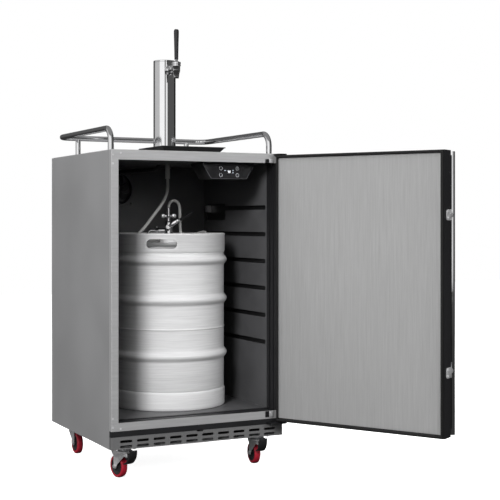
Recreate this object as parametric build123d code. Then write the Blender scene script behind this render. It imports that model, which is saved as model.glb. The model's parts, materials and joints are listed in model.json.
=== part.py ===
from build123d import *
import os
from math import cos, pi, radians, sin, tan

# Free-standing keg cooler with a draft tower.  Millimetres, +Z up.
# The origin is the centre of the cabinet's footprint on the floor; the cabinet's front faces -Y.

# ---------------------------------------------------------------- cabinet
cabinet_width = 610.0
cabinet_depth = 615.0
cabinet_top = 1052.0
body_bottom = 105.0
sheet = 1.5
frame_return = 20.0
half_width = cabinet_width / 2
front_y = -cabinet_depth / 2
back_y = cabinet_depth / 2
skin_inner = half_width - sheet
edge_radius = 3.0

opening_half = 281.6
opening_bottom = 190.0
opening_top = 1020.0

grille_bottom = body_bottom + 0.8
strip_bottom = 145.8
strip_top = 163.8
strip_proud = 1.0
slot_columns = 10
slot_length = 41.3
slot_height = 8.4
slot_pitch = 56.8
slot_rows = (114.0, 130.4)

# ---------------------------------------------------------------- lined cavity
wall_half = 275.0
wall = 2.0
mouth_depth = 57.0
liner_front = front_y + mouth_depth
liner_back = 257.5
floor_z = 192.0
ceiling_z = opening_top
hump_front = 204.5
hump_top = 345.0
groove_depth = 9.0
groove_height = 15.0
groove_pitch = 91.75
groove_first_z = 872.0
groove_count = 6
groove_front = liner_front + 8.0
groove_back = 240.0
back_panel_y = 280.0

# ---------------------------------------------------------------- tower, tap and tray
tower_x = 0.0
tower_y = -10.7
tower_radius = 38.5
tower_top = 1381.5
tower_hole_radius = 30.0
tap_z = 1344.0
tap_y = -114.0
pivot_z = 1362.0
handle_bottom = 1375.0
handle_top = 1477.5
cross_pin_radius = 2.5
cross_pin_reach = 14.0
shank_front = -90.0
spout_bore_radius = 6.0
spout_bottom = 1311.0
tray_half_x = 115.0
tray_front = -265.0
tray_back = -53.0
tray_height = 19.0
tray_corner = 5.0

# ---------------------------------------------------------------- rail
rail_radius = 9.75
rail_z = 1124.0
rail_x = 285.0
rail_front = -247.5
rail_back = 282.3

# ---------------------------------------------------------------- door
door_gap = 12.0
door_thickness = 48.0
door_left = -301.5
door_right = 302.0
door_bottom = 156.0
door_top = 1046.0
panel_x = (-290.5, 297.5)
panel_z = (168.0, 1036.0)
hinge_offset = 14.5
hinge_inset = 10.7
hinge_x = half_width - hinge_offset
hinge_y = front_y - door_gap - hinge_inset
pin_radius = 5.0
running_gap = 0.05
door_open_angle = 120.0
door_inner_y = front_y - door_gap
door_outer_y = door_inner_y - door_thickness
gasket_clearance = 1.6
swing_radius = hinge_inset + door_gap - gasket_clearance
handle_radius = 9.5
handle_stand_off = 45.0
handle_edge_inset = 16.0
bracket_heights = (357.0, 845.0)
bracket_height = 33.0
flange_inset = 2.2

# ---------------------------------------------------------------- casters
wheel_radius = 37.5
wheel_width = 22.0
caster_trail = 35.0
kingpin_x = 239.5
kingpin_y = 253.5
kingpin_radius = 5.0
fork_gap = wheel_width / 2 + 2.2
fork_plate = 2.4
pedal_pivot = 27.0
pedal_pivot_z = 79.5
ear_reach = 76.0
axle_radius = 4.0

# ---------------------------------------------------------------- keg and coupler
keg_x = 16.5
keg_y = -7.7
keg_bottom = floor_z + 0.3
keg_height = 592.0
keg_radius = 192.5
rib_radius = 202.5
chime_radius = 195.5
keg_wall = 2.0
neck_top = keg_bottom + 578.0
keg_travel = 560.0
lever_heading = -26.95
lever_rise = 31.5
lever_pivot_z = 805.4
lever_length = 97.0
lever_pin_radius = 4.0
nut_bottom = 836.0
nut_top = 850.0
ferrule_top = 872.0
ferrule_radius = 6.2
wing_offset = 19.0
lobe_width = 14.0
valve_seat = 799.5
gas_z = 793.0
valve_x = -41.0

# ---------------------------------------------------------------- beer line
hose_radius = 5.25
sleeve_bottom = 972.0
line_x = 11.0
line_y = -12.0


# ================================================================ helpers
def block(x_range, y_range, z_range):
    size = [r[1] - r[0] for r in (x_range, y_range, z_range)]
    centre = [(r[0] + r[1]) / 2 for r in (x_range, y_range, z_range)]
    return Pos(*centre) * Box(*size)


def bar(start, end, radius):
    start = Vector(*start)
    end = Vector(*end)
    run = end - start
    return Plane(origin=(start + end) / 2, z_dir=run) * Cylinder(radius, run.length)


def pipe(start, end, outer, inner):
    run = (Vector(*end) - Vector(*start)).normalized()
    return bar(start, end, outer) - bar(Vector(*start) - run, Vector(*end) + run, inner)


def tapered(start, end, start_radius, end_radius):
    start = Vector(*start)
    end = Vector(*end)
    run = end - start
    return Plane(origin=(start + end) / 2, z_dir=run) * Cone(start_radius, end_radius, run.length)


def swept_tube(points, radii, outer, inner=0.0):
    path = FilletPolyline(*points, radius=radii)
    section = Plane(origin=path @ 0, z_dir=path % 0)
    profile = section * Circle(outer)
    if inner > 0:
        profile = profile - section * Circle(inner)
    return sweep(profile, path=path)


def turned(outline, centre=(0, 0, 0)):
    """Revolve a closed outline of (radius, height) points about the vertical axis."""
    face = make_face(Polyline(*[(r, 0, z) for r, z in outline], close=True))
    return Pos(*centre) * revolve(face, Axis.Z, 360)


def prism_y(outline, y_range):
    """Extrude an outline of (x, z) points along Y."""
    face = make_face(Polyline(*[(x, y_range[0], z) for x, z in outline], close=True))
    return extrude(face, amount=y_range[1] - y_range[0], dir=(0, 1, 0))


def prism_x(outline, x_range):
    """Extrude an outline of (y, z) points along X."""
    face = make_face(Polyline(*[(x_range[0], y, z) for y, z in outline], close=True))
    return extrude(face, amount=x_range[1] - x_range[0], dir=(1, 0, 0))


def slot_y(x, z, length, height, y_range):
    """A slot with round ends, along X, cut right through y_range."""
    reach = length / 2 - height / 2
    middle = block((x - reach, x + reach), y_range, (z - height / 2, z + height / 2))
    ends = [bar((x + s * reach, y_range[0], z), (x + s * reach, y_range[1], z), height / 2) for s in (-1, 1)]
    return middle + ends[0] + ends[1]


def joined(shapes):
    total = shapes[0]
    for shape in shapes[1:]:
        total = total + shape
    return total


def turn_about(shape, x, y, angle):
    return Pos(x, y, 0) * Rot(0, 0, angle) * Pos(-x, -y, 0) * shape


def save(name, shape):
    """Write one node; a list is kept as separate solids of that node."""
    solids = []
    for item in shape if isinstance(shape, list) else [shape]:
        solids.extend(item.solids())
    export_step(Compound(children=solids) if len(solids) > 1 else solids[0], f"parts/{name}.step")


# ================================================================ cabinet
def outer_wrap():
    y_range = (front_y + frame_return + 0.4, back_y)
    shell = block((-half_width, half_width), y_range, (body_bottom, cabinet_top))
    top_edges = shell.edges().filter_by(Axis.Y).group_by(Axis.Z)[-1]
    shell = fillet(top_edges, edge_radius)
    shell = shell - block((-skin_inner, skin_inner), (y_range[0] - 1, y_range[1] + 1),
                          (body_bottom - 1, cabinet_top - sheet))
    return shell - bar((tower_x, tower_y, cabinet_top - 9), (tower_x, tower_y, cabinet_top + 9),
                       tower_hole_radius)


def front_frame():
    y_range = (front_y, front_y + frame_return)
    shell = block((-half_width, half_width), y_range, (strip_top + 0.2, cabinet_top))
    round_edges = (shell.edges().filter_by(Axis.Z).group_by(Axis.Y)[0]
                   + shell.edges().filter_by(Axis.X).group_by(Axis.Y)[0].group_by(Axis.Z)[-1]
                   + shell.edges().filter_by(Axis.Y).group_by(Axis.Z)[-1])
    shell = fillet(round_edges, edge_radius - 1)
    shell = shell - block((-skin_inner, skin_inner), (front_y + sheet, y_range[1] + 1),
                          (strip_top - 1, cabinet_top - sheet))
    return shell - block((-opening_half, opening_half), (front_y - 1, y_range[1] + 1),
                         (opening_bottom, opening_top))


def kick_grille():
    y_range = (front_y, front_y + frame_return)
    z_range = (grille_bottom, strip_bottom - 0.2)
    shell = block((-half_width, half_width), y_range, z_range)
    shell = fillet(shell.edges().filter_by(Axis.Z).group_by(Axis.Y)[0], edge_radius - 1)
    shell = shell - block((-skin_inner, skin_inner), (front_y + 2.5, y_range[1] + 1),
                          (z_range[0] - 1, z_range[1] + 1))
    first = -(slot_columns - 1) * slot_pitch / 2
    for column in range(slot_columns):
        for z in slot_rows:
            shell = shell - slot_y(first + column * slot_pitch, z, slot_length, slot_height,
                                   (front_y - 1, front_y + 4))
    notch_half = 11.0
    return shell - block((-notch_half, notch_half), (front_y - 1, front_y + 4), (z_range[1] - 4, z_range[1] + 1))


def trim_strip():
    end_proud = 1.5
    strip = block((-half_width - end_proud, half_width - 1.0),
                  (front_y - strip_proud, front_y + 14), (strip_bottom, strip_top))
    return fillet(strip.edges().filter_by(Axis.X).group_by(Axis.Y)[0], 1.5)


def mouth_trim():
    """Stepped collar that joins the front frame to the liner."""
    steps = ((0.0, 16.0, 5.0), (16.0, 24.0, 1.5), (24.0, 41.0, 4.0), (41.0, mouth_depth, 0.0))
    outer = 11.0
    collar = block((-wall_half - outer, wall_half + outer), (front_y + sheet, liner_front),
                   (floor_z - outer, ceiling_z + outer))
    for start, end, offset in steps:
        floor_drop = min(offset, floor_z - opening_bottom)
        collar = collar - block((-wall_half - offset, wall_half + offset),
                                (front_y + start, front_y + end),
                                (floor_z - floor_drop, ceiling_z + offset))
    return collar


def groove_solid(side, x_start, depth, growth):
    """One row of shelf grooves on one side wall, grown by a wall's thickness for its outer shape."""
    rows = []
    for index in range(groove_count):
        z = groove_first_z - index * groove_pitch
        half = groove_height / 2 + growth
        x_range = sorted((side * x_start, side * (x_start + depth)))
        body = block(x_range, (groove_front + groove_height / 2, groove_back + growth), (z - half, z + half))
        nose = bar((x_range[0], groove_front + groove_height / 2, z),
                   (x_range[1], groove_front + groove_height / 2, z), half)
        rows.append(body + nose)
    return rows


def inner_liner():
    outer = block((-wall_half - wall, wall_half + wall), (liner_front, liner_back + wall),
                  (floor_z - wall, ceiling_z + wall))
    cavity = block((-wall_half, wall_half), (liner_front - 1, liner_back), (floor_z, ceiling_z))
    outer = outer - block((-wall_half - 9, wall_half + 9), (hump_front + wall, liner_back + 9),
                          (floor_z - 9, hump_top - wall))
    cavity = cavity - block((-wall_half - 1, wall_half + 1), (hump_front, liner_back + 1),
                            (floor_z - 1, hump_top))
    for side in (-1, 1):
        for bump in groove_solid(side, wall_half + 0.5, groove_depth + wall - 0.5, wall):
            outer = outer + bump
        for groove in groove_solid(side, wall_half - 1, groove_depth + 1, 0.0):
            cavity = cavity + groove
    pocket_y = (75.0, groove_back)
    pocket_z = (829.0, 888.0)
    outer = outer + block((wall_half + 0.5, wall_half + groove_depth + wall),
                          (pocket_y[0] - wall, pocket_y[1] + wall), (pocket_z[0] - wall, pocket_z[1] + wall))
    cavity = cavity + block((wall_half - 1, wall_half + groove_depth), pocket_y, pocket_z)
    liner = outer - cavity
    return liner - bar((tower_x, tower_y, ceiling_z - 9), (tower_x, tower_y, ceiling_z + 9), tower_hole_radius)


def insulation_foam():
    margin = 0.2
    bump = wall_half + wall + groove_depth + margin
    foam = block((-skin_inner + margin, skin_inner - margin), (front_y + sheet + margin, back_panel_y - margin),
                 (166.0, cabinet_top - sheet - margin))
    foam = foam - block((-bump, bump), (liner_front - 1, liner_back + wall + margin),
                        (floor_z - wall - margin, ceiling_z + wall + margin))
    foam = foam - block((-wall_half - 11 - margin, wall_half + 11 + margin), (front_y, liner_front + margin),
                        (floor_z - 11 - margin, ceiling_z + 11 + margin))
    backing = block((-bump + margin, bump - margin), (hump_front + wall + margin, liner_back + wall + margin),
                    (floor_z, hump_top - wall - margin))
    foam = foam + backing
    foam = foam - block((-bump + 8, bump - 8), (220.0, back_panel_y + 1), (160.0, 330.0))
    return foam - bar((tower_x, tower_y, ceiling_z - 9), (tower_x, tower_y, cabinet_top + 9), tower_hole_radius)


def back_panel():
    return block((-skin_inner + 0.2, skin_inner - 0.2), (back_panel_y, back_panel_y + 1.2),
                 (330.0, cabinet_top - sheet - 0.2))


def deck_and_base():
    base = block((-skin_inner + 0.2, skin_inner - 0.2), (front_y + 3, back_y - 2.0), (body_bottom, body_bottom + 2))
    deck = block((-skin_inner + 0.2, skin_inner - 0.2), (front_y + 16, 219.0), (strip_top + 0.4, 165.8))
    return [base, deck]


# ================================================================ machine space
def compressor():
    x, y = -70.0, 261.0
    radius = 38.0
    z_low = body_bottom + 14
    shell = turned([(0, 0), (radius - 8, 0), (radius, 10), (radius, 126), (radius - 12, 146), (0, 152)], (x, y, z_low))
    foot = block((x - 60, x + 60), (y - 30, y + 30), (z_low - 4, z_low))
    accumulator = bar((x + 52, y, z_low), (x + 52, y, z_low + 110), 13)
    suction = bar((x + 30, y, z_low + 60), (x + 45, y, z_low + 60), 4)
    return joined([shell, foot, accumulator, suction])


def compressor_mounts():
    x, y = -70.0, 261.0
    return [bar((x + dx, y + dy, body_bottom + 2), (x + dx, y + dy, body_bottom + 10), 8)
            for dx in (-50, 50) for dy in (-21, 21)]


def condenser_coil():
    """Serpentine tube in the recess behind the back panel."""
    tube = 3.0
    y = back_panel_y + 12
    half_run = 250.0
    pitch = 40.0
    rows = 16
    first_z = 392.0
    pieces = []
    for row in range(rows):
        z = first_z + row * pitch
        pieces.append(bar((-half_run, y, z), (half_run, y, z), tube))
        if row < rows - 1:
            side = 1 if row % 2 == 0 else -1
            bend_face = Plane(origin=(side * half_run, y, z), z_dir=(1, 0, 0)) * Circle(tube)
            bend = revolve(bend_face, Axis((side * half_run, y, z + pitch / 2), (0, 1, 0)), -side * 180)
            pieces.append(bend)
    return joined(pieces)


def condenser_straps():
    straps = []
    for x in (-230.0, 0.0, 230.0):
        straps.append(block((x - 8, x + 8), (back_panel_y + 1.2, back_panel_y + 8.8), (372.0, 1012.0)))
    return straps


def rear_cover():
    y_range = (back_y - 3.5, back_y - 2.0)
    plate = block((-skin_inner + 0.3, skin_inner - 0.3), y_range, (body_bottom + 2.2, 334.0))
    for column in range(8):
        for row in range(9):
            x = -196.0 + column * 56.0
            z = 140.0 + row * 20.0
            plate = plate - slot_y(x, z, 40.0, 7.0, (y_range[0] - 1, y_range[1] + 1))
    shelf = block((-skin_inner + 0.3, skin_inner - 0.3), (back_panel_y + 1.4, y_range[0]), (331.8, 334.0))
    return plate + shelf - bar((-250, y_range[0] - 1, 150), (-250, y_range[1] + 1, 150), 8.2)


def cord_gland():
    y = back_y - 3.5
    stem = bar((-250, y - 8, 150), (-250, y + 1.4, 150), 8.0)
    flange = bar((-250, y + 1.5, 150), (-250, y + 3.5, 150), 12.0)
    nut = bar((-250, y - 7, 150), (-250, y - 0.1, 150), 11.0)
    link = bar((-250, y + 1, 150), (-250, y + 2, 150), 8.0)
    return stem + link + flange + nut - bar((-250, y - 9, 150), (-250, y + 9, 150), 4.2)


# ================================================================ cooling fan inside
fan_x = -83.0
fan_z = 941.0
fan_size = 120.0
fan_depth = 25.0
fan_front = liner_back - fan_depth
fan_hole = 57.0


def fan_frame():
    half = fan_size / 2
    frame = block((fan_x - half, fan_x + half), (fan_front, liner_back - 0.1), (fan_z - half, fan_z + half))
    frame = fillet(frame.edges().filter_by(Axis.Y), 6)
    frame = frame - bar((fan_x, fan_front - 1, fan_z), (fan_x, liner_back + 1, fan_z), fan_hole)
    motor = bar((fan_x, liner_back - 5, fan_z), (fan_x, liner_back - 0.1, fan_z), 19)
    pin = bar((fan_x, fan_front + 6, fan_z), (fan_x, liner_back - 4, fan_z), 2.0)
    frame = frame + motor + pin
    for angle in (30, 150, 270):
        tip = (fan_x + (fan_hole + 1) * cos(radians(angle)), liner_back - 2.6, fan_z + (fan_hole + 1) * sin(radians(angle)))
        frame = frame + bar((fan_x, liner_back - 2.6, fan_z), tip, 2.0)
    return frame


def evaporator_fan():
    y_low = fan_front + 4
    y_high = liner_back - 6
    hub = pipe((fan_x, y_low, fan_z), (fan_x, y_high, fan_z), 18, 2.0 + running_gap)
    blades = 7
    shape = hub
    for index in range(blades):
        blade = Pos(36, 0, 0) * Rot(32, 0, 0) * Box(40, 2.0, 20)
        shape = shape + Pos(fan_x, (y_low + y_high) / 2, fan_z) * Rot(0, index * 360 / blades, 0) * blade
    trim = pipe((fan_x, y_low, fan_z), (fan_x, y_high, fan_z), 55, 2.0 + running_gap)
    return shape & trim


def tower_air_tube():
    points = [(-131, fan_front - 1.6, 989), (-130, 196, 994), (-92, 112, 1002), (-40, 40, 1003),
              (-14, -2, 1008), (-12, -8, 1046)]
    return swept_tube(points, [30, 60, 60, 20], 7.0)


def probe_clip():
    """Spring clip that holds the thermostat's probe on the right wall."""
    x = wall_half - 7
    fins = [block((x, wall_half + groove_depth - 0.1), (y, y + 5), (858, 883)) for y in (214, 226)]
    return fins[0] + fins[1] + block((wall_half + 1, wall_half + groove_depth - 0.1), (218, 227), (858, 883))


# ================================================================ control unit under the ceiling
panel_centre_x = 123.5
housing_front = -266.0
housing_back = -171.0
housing_bottom = 966.0
button_radius = 7.0
button_dx = 30.5
button_rows = (978.5, 1000.8)


def housing_outline(inset):
    """Front outline of the control unit, wide at the ceiling and narrower below."""
    top, bottom = 94.5 - inset, 65.5 - inset
    return [(panel_centre_x - top, ceiling_z - 0.2 - inset), (panel_centre_x + top, ceiling_z - 0.2 - inset),
            (panel_centre_x + top, 1012 - inset), (panel_centre_x + bottom, housing_bottom + inset),
            (panel_centre_x - bottom, housing_bottom + inset), (panel_centre_x - top, 1012 - inset)]


def button_places():
    return [(panel_centre_x + dx, z) for z in reversed(button_rows) for dx in (-button_dx, button_dx)]


def control_housing():
    shell = prism_y(housing_outline(0), (housing_front, housing_back))
    shell = shell - prism_y(housing_outline(2.5), (housing_front - 1, housing_back - 2.5))
    return shell


def control_panel():
    plate = prism_y([(x, z) for x, z in housing_outline(0.3)], (housing_front - 3.0, housing_front - 0.1))
    for x, z in button_places():
        plate = plate - bar((x, housing_front - 5, z), (x, housing_front + 5, z), button_radius + 0.4)
    window = block((panel_centre_x - 8, panel_centre_x + 8), (housing_front - 5, housing_front - 1.2), (980.6, 998.6))
    for x, z in lamp_places():
        plate = plate - bar((x, housing_front - 5, z), (x, housing_front - 1.2, z), 1.6)
    return plate - window


def lamp_places():
    return [(panel_centre_x - 14.5, 994.0), (panel_centre_x + 15.0, 994.0), (panel_centre_x + 15.0, 986.5)]


def display_window():
    return block((panel_centre_x - 7.9, panel_centre_x + 7.9), (housing_front - 3.2, housing_front - 1.2), (980.7, 998.5))


def indicator_lamps():
    return [bar((x, housing_front - 3.4, z), (x, housing_front - 1.2, z), 1.5) for x, z in lamp_places()]


def button(x, z):
    cap = bar((x, housing_front - 4.6, z), (x, housing_front + 3, z), button_radius)
    cap = fillet(cap.edges().group_by(Axis.Y)[0], 1.2)
    return cap + bar((x, housing_front + 2, z), (x, housing_front + 4, z), button_radius + 1.2)


# ================================================================ guard rail, tower and tray
def guard_rail():
    points = [(-rail_x, rail_front, cabinet_top), (-rail_x, rail_front, rail_z), (-rail_x, rail_back, rail_z),
              (rail_x, rail_back, rail_z), (rail_x, rail_front, rail_z), (rail_x, rail_front, cabinet_top)]
    return swept_tube(points, [44, 42, 42, 44], rail_radius, rail_radius - 1.5)


def rail_posts():
    full_rail = bar((-230, rail_back, rail_z), (230, rail_back, rail_z), rail_radius + 0.02)
    return [bar((x, rail_back, cabinet_top), (x, rail_back, rail_z), 9.0) - full_rail for x in (-215.0, 212.0)]


def tower_parts():
    centre = (tower_x, tower_y)
    ring = pipe((*centre, cabinet_top), (*centre, cabinet_top + 3), 40.5, 34.0)
    column = pipe((*centre, cabinet_top + 3), (*centre, tower_top - 6), tower_radius, tower_radius - 1.6)
    column = column - bar((tower_x, tower_y - 60, tap_z), (tower_x, tower_y, tap_z), 10.2)
    cap = bar((*centre, tower_top - 6), (*centre, tower_top), tower_radius)
    cap = fillet(cap.edges().group_by(Axis.Z)[-1], 1.5)
    cap = cap + pipe((*centre, tower_top - 14), (*centre, tower_top - 5.9), tower_radius - 1.7, tower_radius - 4)
    return [ring, column, cap]


def drip_tray():
    """Flared tray, open upwards, with a rolled rim."""
    inset = 16.0
    z_low, z_high = cabinet_top, cabinet_top + tray_height - 3
    centre = (0, (tray_front + tray_back) / 2)
    half_y = (tray_back - tray_front) / 2

    def plan(shrink, z):
        size = (2 * (tray_half_x - shrink), 2 * (half_y - shrink))
        return Plane(origin=(*centre, z)) * RectangleRounded(*size, tray_corner)

    shell = loft([plan(inset, z_low), plan(3, z_high)])
    rim = extrude(plan(0, z_high), amount=3)
    hollow = loft([plan(inset + 1.8, z_low + 1.8), plan(5, z_high + 0.001)])
    mouth = extrude(plan(5, z_high), amount=4)
    return shell + rim - hollow - mouth


def drip_grille():
    """Lift-out slotted plate that rests on the tray's sloping wall."""
    half_x, half_y = tray_half_x - 8.5, (tray_back - tray_front) / 2 - 8.5
    centre_y = (tray_front + tray_back) / 2
    z = cabinet_top + tray_height - 5
    plate = extrude(Plane(origin=(0, centre_y, z)) * RectangleRounded(2 * half_x, 2 * half_y, tray_corner - 1), amount=1.5)
    for column in range(17):
        x = (column - 8) * 11.5
        for half in (-1, 1):
            y_mid = centre_y + half * 44
            plate = plate - block((x - 2.5, x + 2.5), (y_mid - 36, y_mid + 36), (z - 1, z + 3))
    return plate


# ================================================================ tap
def faucet_shank():
    stem = bar((tower_x, shank_front, tap_z), (tower_x, -14, tap_z), 10.0)
    collar = bar((tower_x, -64, tap_z), (tower_x, -40, tap_z), 17.0)
    tower_solid = bar((tower_x, tower_y, tap_z - 40), (tower_x, tower_y, tap_z + 40), tower_radius + 0.02)
    tail = bar((tower_x, -20, tap_z), (tower_x, -20, tap_z - 26), 5.0)
    shank = stem + (collar - tower_solid) + tail
    return shank - bar((tower_x, -99, tap_z), (tower_x, -20, tap_z), 6.4)


def faucet_body():
    """Rear-sealing tap: coupling nut, horizontal barrel, upright barrel, bonnet ring and spout."""
    nut = bar((tower_x, -98, tap_z), (tower_x, -80, tap_z), 15.5)
    barrel = bar((tower_x, tap_y, tap_z), (tower_x, -96, tap_z), 12.0)
    upright = bar((tower_x, tap_y, 1336.6), (tower_x, tap_y, pivot_z - 4), 13.0)
    bonnet = bar((tower_x, tap_y, pivot_z - 10), (tower_x, tap_y, pivot_z + 4), 15.0)
    spout = tapered((tower_x, tap_y, 1340), (tower_x, tap_y, spout_bottom), 12.0, 8.6)
    body = joined([nut, barrel, upright, bonnet, spout])
    body = body - Pos(tower_x, tap_y, pivot_z) * Sphere(10.35)
    body = body - bar((tower_x, tap_y, pivot_z - 1), (tower_x, tap_y, pivot_z + 9), 10.5)
    body = body - block((-3.7, 3.7), (tap_y - 4, tap_y + 12.6), (pivot_z - 17, pivot_z - 4))
    cross = cross_pin_reach + 0.3
    body = body - bar((-cross, tap_y, pivot_z), (cross, tap_y, pivot_z), cross_pin_radius + running_gap)
    shaft_z = pivot_z - 13
    body = body - bar((tower_x, tap_y - 1, shaft_z), (tower_x, -97, shaft_z), 3.3)
    body = body - bar((tower_x, -98.5, tap_z), (tower_x, -79, tap_z), 10.02)
    return body - bar((tower_x, tap_y, spout_bottom - 1), (tower_x, tap_y, spout_bottom + 26), spout_bore_radius)


def faucet_shaft():
    shaft_z = pivot_z - 13
    return bar((tower_x, tap_y + 3.3, shaft_z), (tower_x, tap_y + 13, shaft_z), 3.0)


def faucet_lever():
    ball = Pos(tower_x, tap_y, pivot_z) * Sphere(10.0)
    neck = bar((tower_x, tap_y, pivot_z), (tower_x, tap_y, handle_bottom), 5.0)
    stud = bar((tower_x, tap_y, handle_bottom - 1), (tower_x, tap_y, handle_bottom + 14), 4.0)
    rod = bar((tower_x, tap_y, pivot_z), (tower_x, tap_y, pivot_z - 13), 3.0)
    tip = Pos(tower_x, tap_y, pivot_z - 13) * Sphere(3.0)
    cross = bar((-cross_pin_reach, tap_y, pivot_z), (cross_pin_reach, tap_y, pivot_z), cross_pin_radius)
    return joined([ball, neck, stud, rod, tip, cross])


def tap_handle():
    height = handle_top - handle_bottom
    outline = [(0, 0), (6.6, 0), (7.0, 4), (7.4, height * 0.4), (8.6, height * 0.86), (8.4, height - 5),
               (6.0, height - 1), (0, height)]
    handle = turned(outline, (tower_x, tap_y, handle_bottom))
    return handle - bar((tower_x, tap_y, handle_bottom - 1), (tower_x, tap_y, handle_bottom + 14), 4.0)


# ================================================================ door, modelled shut
def ring_y(outer_x, outer_z, inner_x, inner_z, y_range):
    """A rectangular ring lying in the XZ plane."""
    return block(outer_x, y_range, outer_z) - block(inner_x, (y_range[0] - 1, y_range[1] + 1), inner_z)


def swing_clearance():
    """Everything beside the hinge axis that would sweep into the cabinet's front."""
    far = 60.0
    zone = block((hinge_x, hinge_x + far), (hinge_y, hinge_y + far), (door_bottom - 9, door_top + 9))
    return zone - bar((hinge_x, hinge_y, door_bottom - 20), (hinge_x, hinge_y, door_top + 20), swing_radius)


def pin_bores():
    low = bar((hinge_x, hinge_y, door_bottom - 1), (hinge_x, hinge_y, door_bottom + 21), pin_radius + running_gap)
    high = bar((hinge_x, hinge_y, door_top - 21), (hinge_x, hinge_y, door_top + 1), pin_radius + running_gap)
    return low + high


def door_parts():
    rim = 22.0
    x_range = (door_left, door_right)
    z_range = (door_bottom, door_top)
    x_inner = (door_left + rim, door_right - rim)
    z_inner = (door_bottom + rim, door_top - rim)
    edge = ring_y(x_range, z_range, x_inner, z_inner, (door_outer_y + 2, door_inner_y))
    edge = edge - pin_bores() - block(panel_x, (door_inner_y - 1.2, door_inner_y + 1), panel_z)
    panel = block(panel_x, (door_inner_y - 1.2, door_inner_y), panel_z)
    skin = block(x_range, (door_outer_y, door_outer_y + 1.9), z_range)
    skin = fillet(skin.edges().filter_by(Axis.Z).group_by(Axis.Y)[0], 1.5)
    core = block((x_inner[0] + 0.1, x_inner[1] - 0.1), (door_outer_y + 2, door_inner_y - 1.3),
                 (z_inner[0] + 0.1, z_inner[1] - 0.1))
    gasket = ring_y((door_left + 1, door_right - 1), (door_bottom + 1, door_top - 1), panel_x, panel_z,
                    (door_inner_y, front_y - gasket_clearance))
    gasket = gasket - swing_clearance()
    handle_y = door_outer_y - handle_stand_off
    handle_x = door_left + handle_edge_inset
    handle = pipe((handle_x, handle_y, 155), (handle_x, handle_y, 1045), handle_radius, handle_radius - 1.5)
    plugs = [bar((handle_x, handle_y, a), (handle_x, handle_y, b), handle_radius - 1.5)
             for a, b in ((155.5, 160), (1040, 1044.5))]
    brackets, screws = [], []
    for z in bracket_heights:
        z_span = (z - bracket_height / 2, z + bracket_height / 2)
        flange_y = (door_outer_y - flange_inset, door_outer_y - 0.05)
        plate = block((door_left - 2.2, door_left - 0.05), (flange_y[0], door_inner_y - 12), z_span)
        plate = fillet(plate.edges().filter_by(Axis.X).group_by(Axis.Y)[-1], 5)
        flange = block((door_left - 2.2, handle_x + 8.0), flange_y, z_span)
        post = bar((handle_x, flange_y[0] + 0.1, z), (handle_x, handle_y, z), 8.5)
        tube = bar((handle_x, handle_y, z - 40), (handle_x, handle_y, z + 40), handle_radius + 0.02)
        brackets.append(plate + flange + post - tube)
        for dz in (-9, 9):
            centre = (door_left - 2.25, door_inner_y - 22, z + dz)
            head = bar((centre[0] - 2.2, *centre[1:]), centre, 4.2)
            screws.append(fillet(head.edges().group_by(Axis.X)[0], 1.2))
    parts = {"door_shell": [edge, skin], "door_inner_panel": [panel], "door_core": [core],
             "door_gasket": [gasket], "door_handle": [handle] + plugs, "handle_brackets": brackets + screws}
    opened = {}
    for name, shapes in parts.items():
        opened[name] = [turn_about(item, hinge_x, hinge_y, door_open_angle) for item in shapes]
    return opened


def hinge_brackets():
    ear_x = (hinge_x - 46, half_width)
    ear_y = (hinge_y - 14, front_y - strip_proud - 0.1)
    low_ear = block(ear_x, ear_y, (149.0, 153.5))
    low_flange = block(ear_x, (ear_y[1] - 2.5, ear_y[1]), (146.2, 154.0))
    low_pin = bar((hinge_x, hinge_y, 153.0), (hinge_x, hinge_y, door_bottom + 20), pin_radius)
    high_ear = block((hinge_x - 20, half_width), (hinge_y - 14, front_y - 0.1), (1047.4, 1050.6))
    high_pin = bar((hinge_x, hinge_y, door_top - 20), (hinge_x, hinge_y, 1048.0), pin_radius)
    low = fillet(low_ear.edges().filter_by(Axis.Z).group_by(Axis.Y)[0], 8) + low_flange + low_pin
    high = fillet(high_ear.edges().filter_by(Axis.Z).group_by(Axis.Y)[0], 8) + high_pin
    return [low, high]


def hinge_rail_plates():
    """Cover plates on the right ends of the front frame's two rails."""
    heights = ((170.0, 189.5), (1020.5, 1033.0))
    plates = [block((254.0, 269.0), (front_y - 2.5, front_y - 0.05), z) for z in heights]
    pads = [block((240.0, 252.0), (front_y - 3.0, front_y - 0.05), z) for z in heights]
    return plates, pads


def corner_screws():
    spots = [(-300.0, 1035.3), (-300.0, 1006.8), (-274.0, 1041.0), (-300.0, 204.7), (-300.0, 177.1), (-274.0, 171.4)]
    return [bar((x, front_y - 0.4, z), (x, front_y - 0.02, z), 3.6) for x, z in spots]


def bracket_screws():
    spots = [(hinge_x - 36, hinge_y + 4), (hinge_x - 20, hinge_y + 4)]
    heads = [bar((x, y, 145.6), (x, y, 148.9), 4.0) for x, y in spots]
    return heads


# ================================================================ casters
def caster_wheel(x, axle_y):
    """Hub with a recessed face each side and a tread round it."""
    half = wheel_width / 2
    hub_radius = 28.0
    recess = 4.0
    hub = bar((x - half, axle_y, wheel_radius), (x + half, axle_y, wheel_radius), hub_radius)
    for side in (-1, 1):
        hub = hub - pipe((x + side * (half - recess), axle_y, wheel_radius),
                         (x + side * (half + 1), axle_y, wheel_radius), 23.0, 9.0)
    bore = axle_radius + running_gap
    hub = hub - bar((x - 30, axle_y, wheel_radius), (x + 30, axle_y, wheel_radius), bore)
    hub = hub + pipe((x - half - 1.8, axle_y, wheel_radius), (x + half + 1.8, axle_y, wheel_radius), 8.0, bore)
    tyre = bar((x - half, axle_y, wheel_radius), (x + half, axle_y, wheel_radius), wheel_radius)
    tyre = fillet(tyre.edges(), 4)
    tyre = tyre - bar((x - 30, axle_y, wheel_radius), (x + 30, axle_y, wheel_radius), hub_radius)
    return [hub, tyre]


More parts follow.
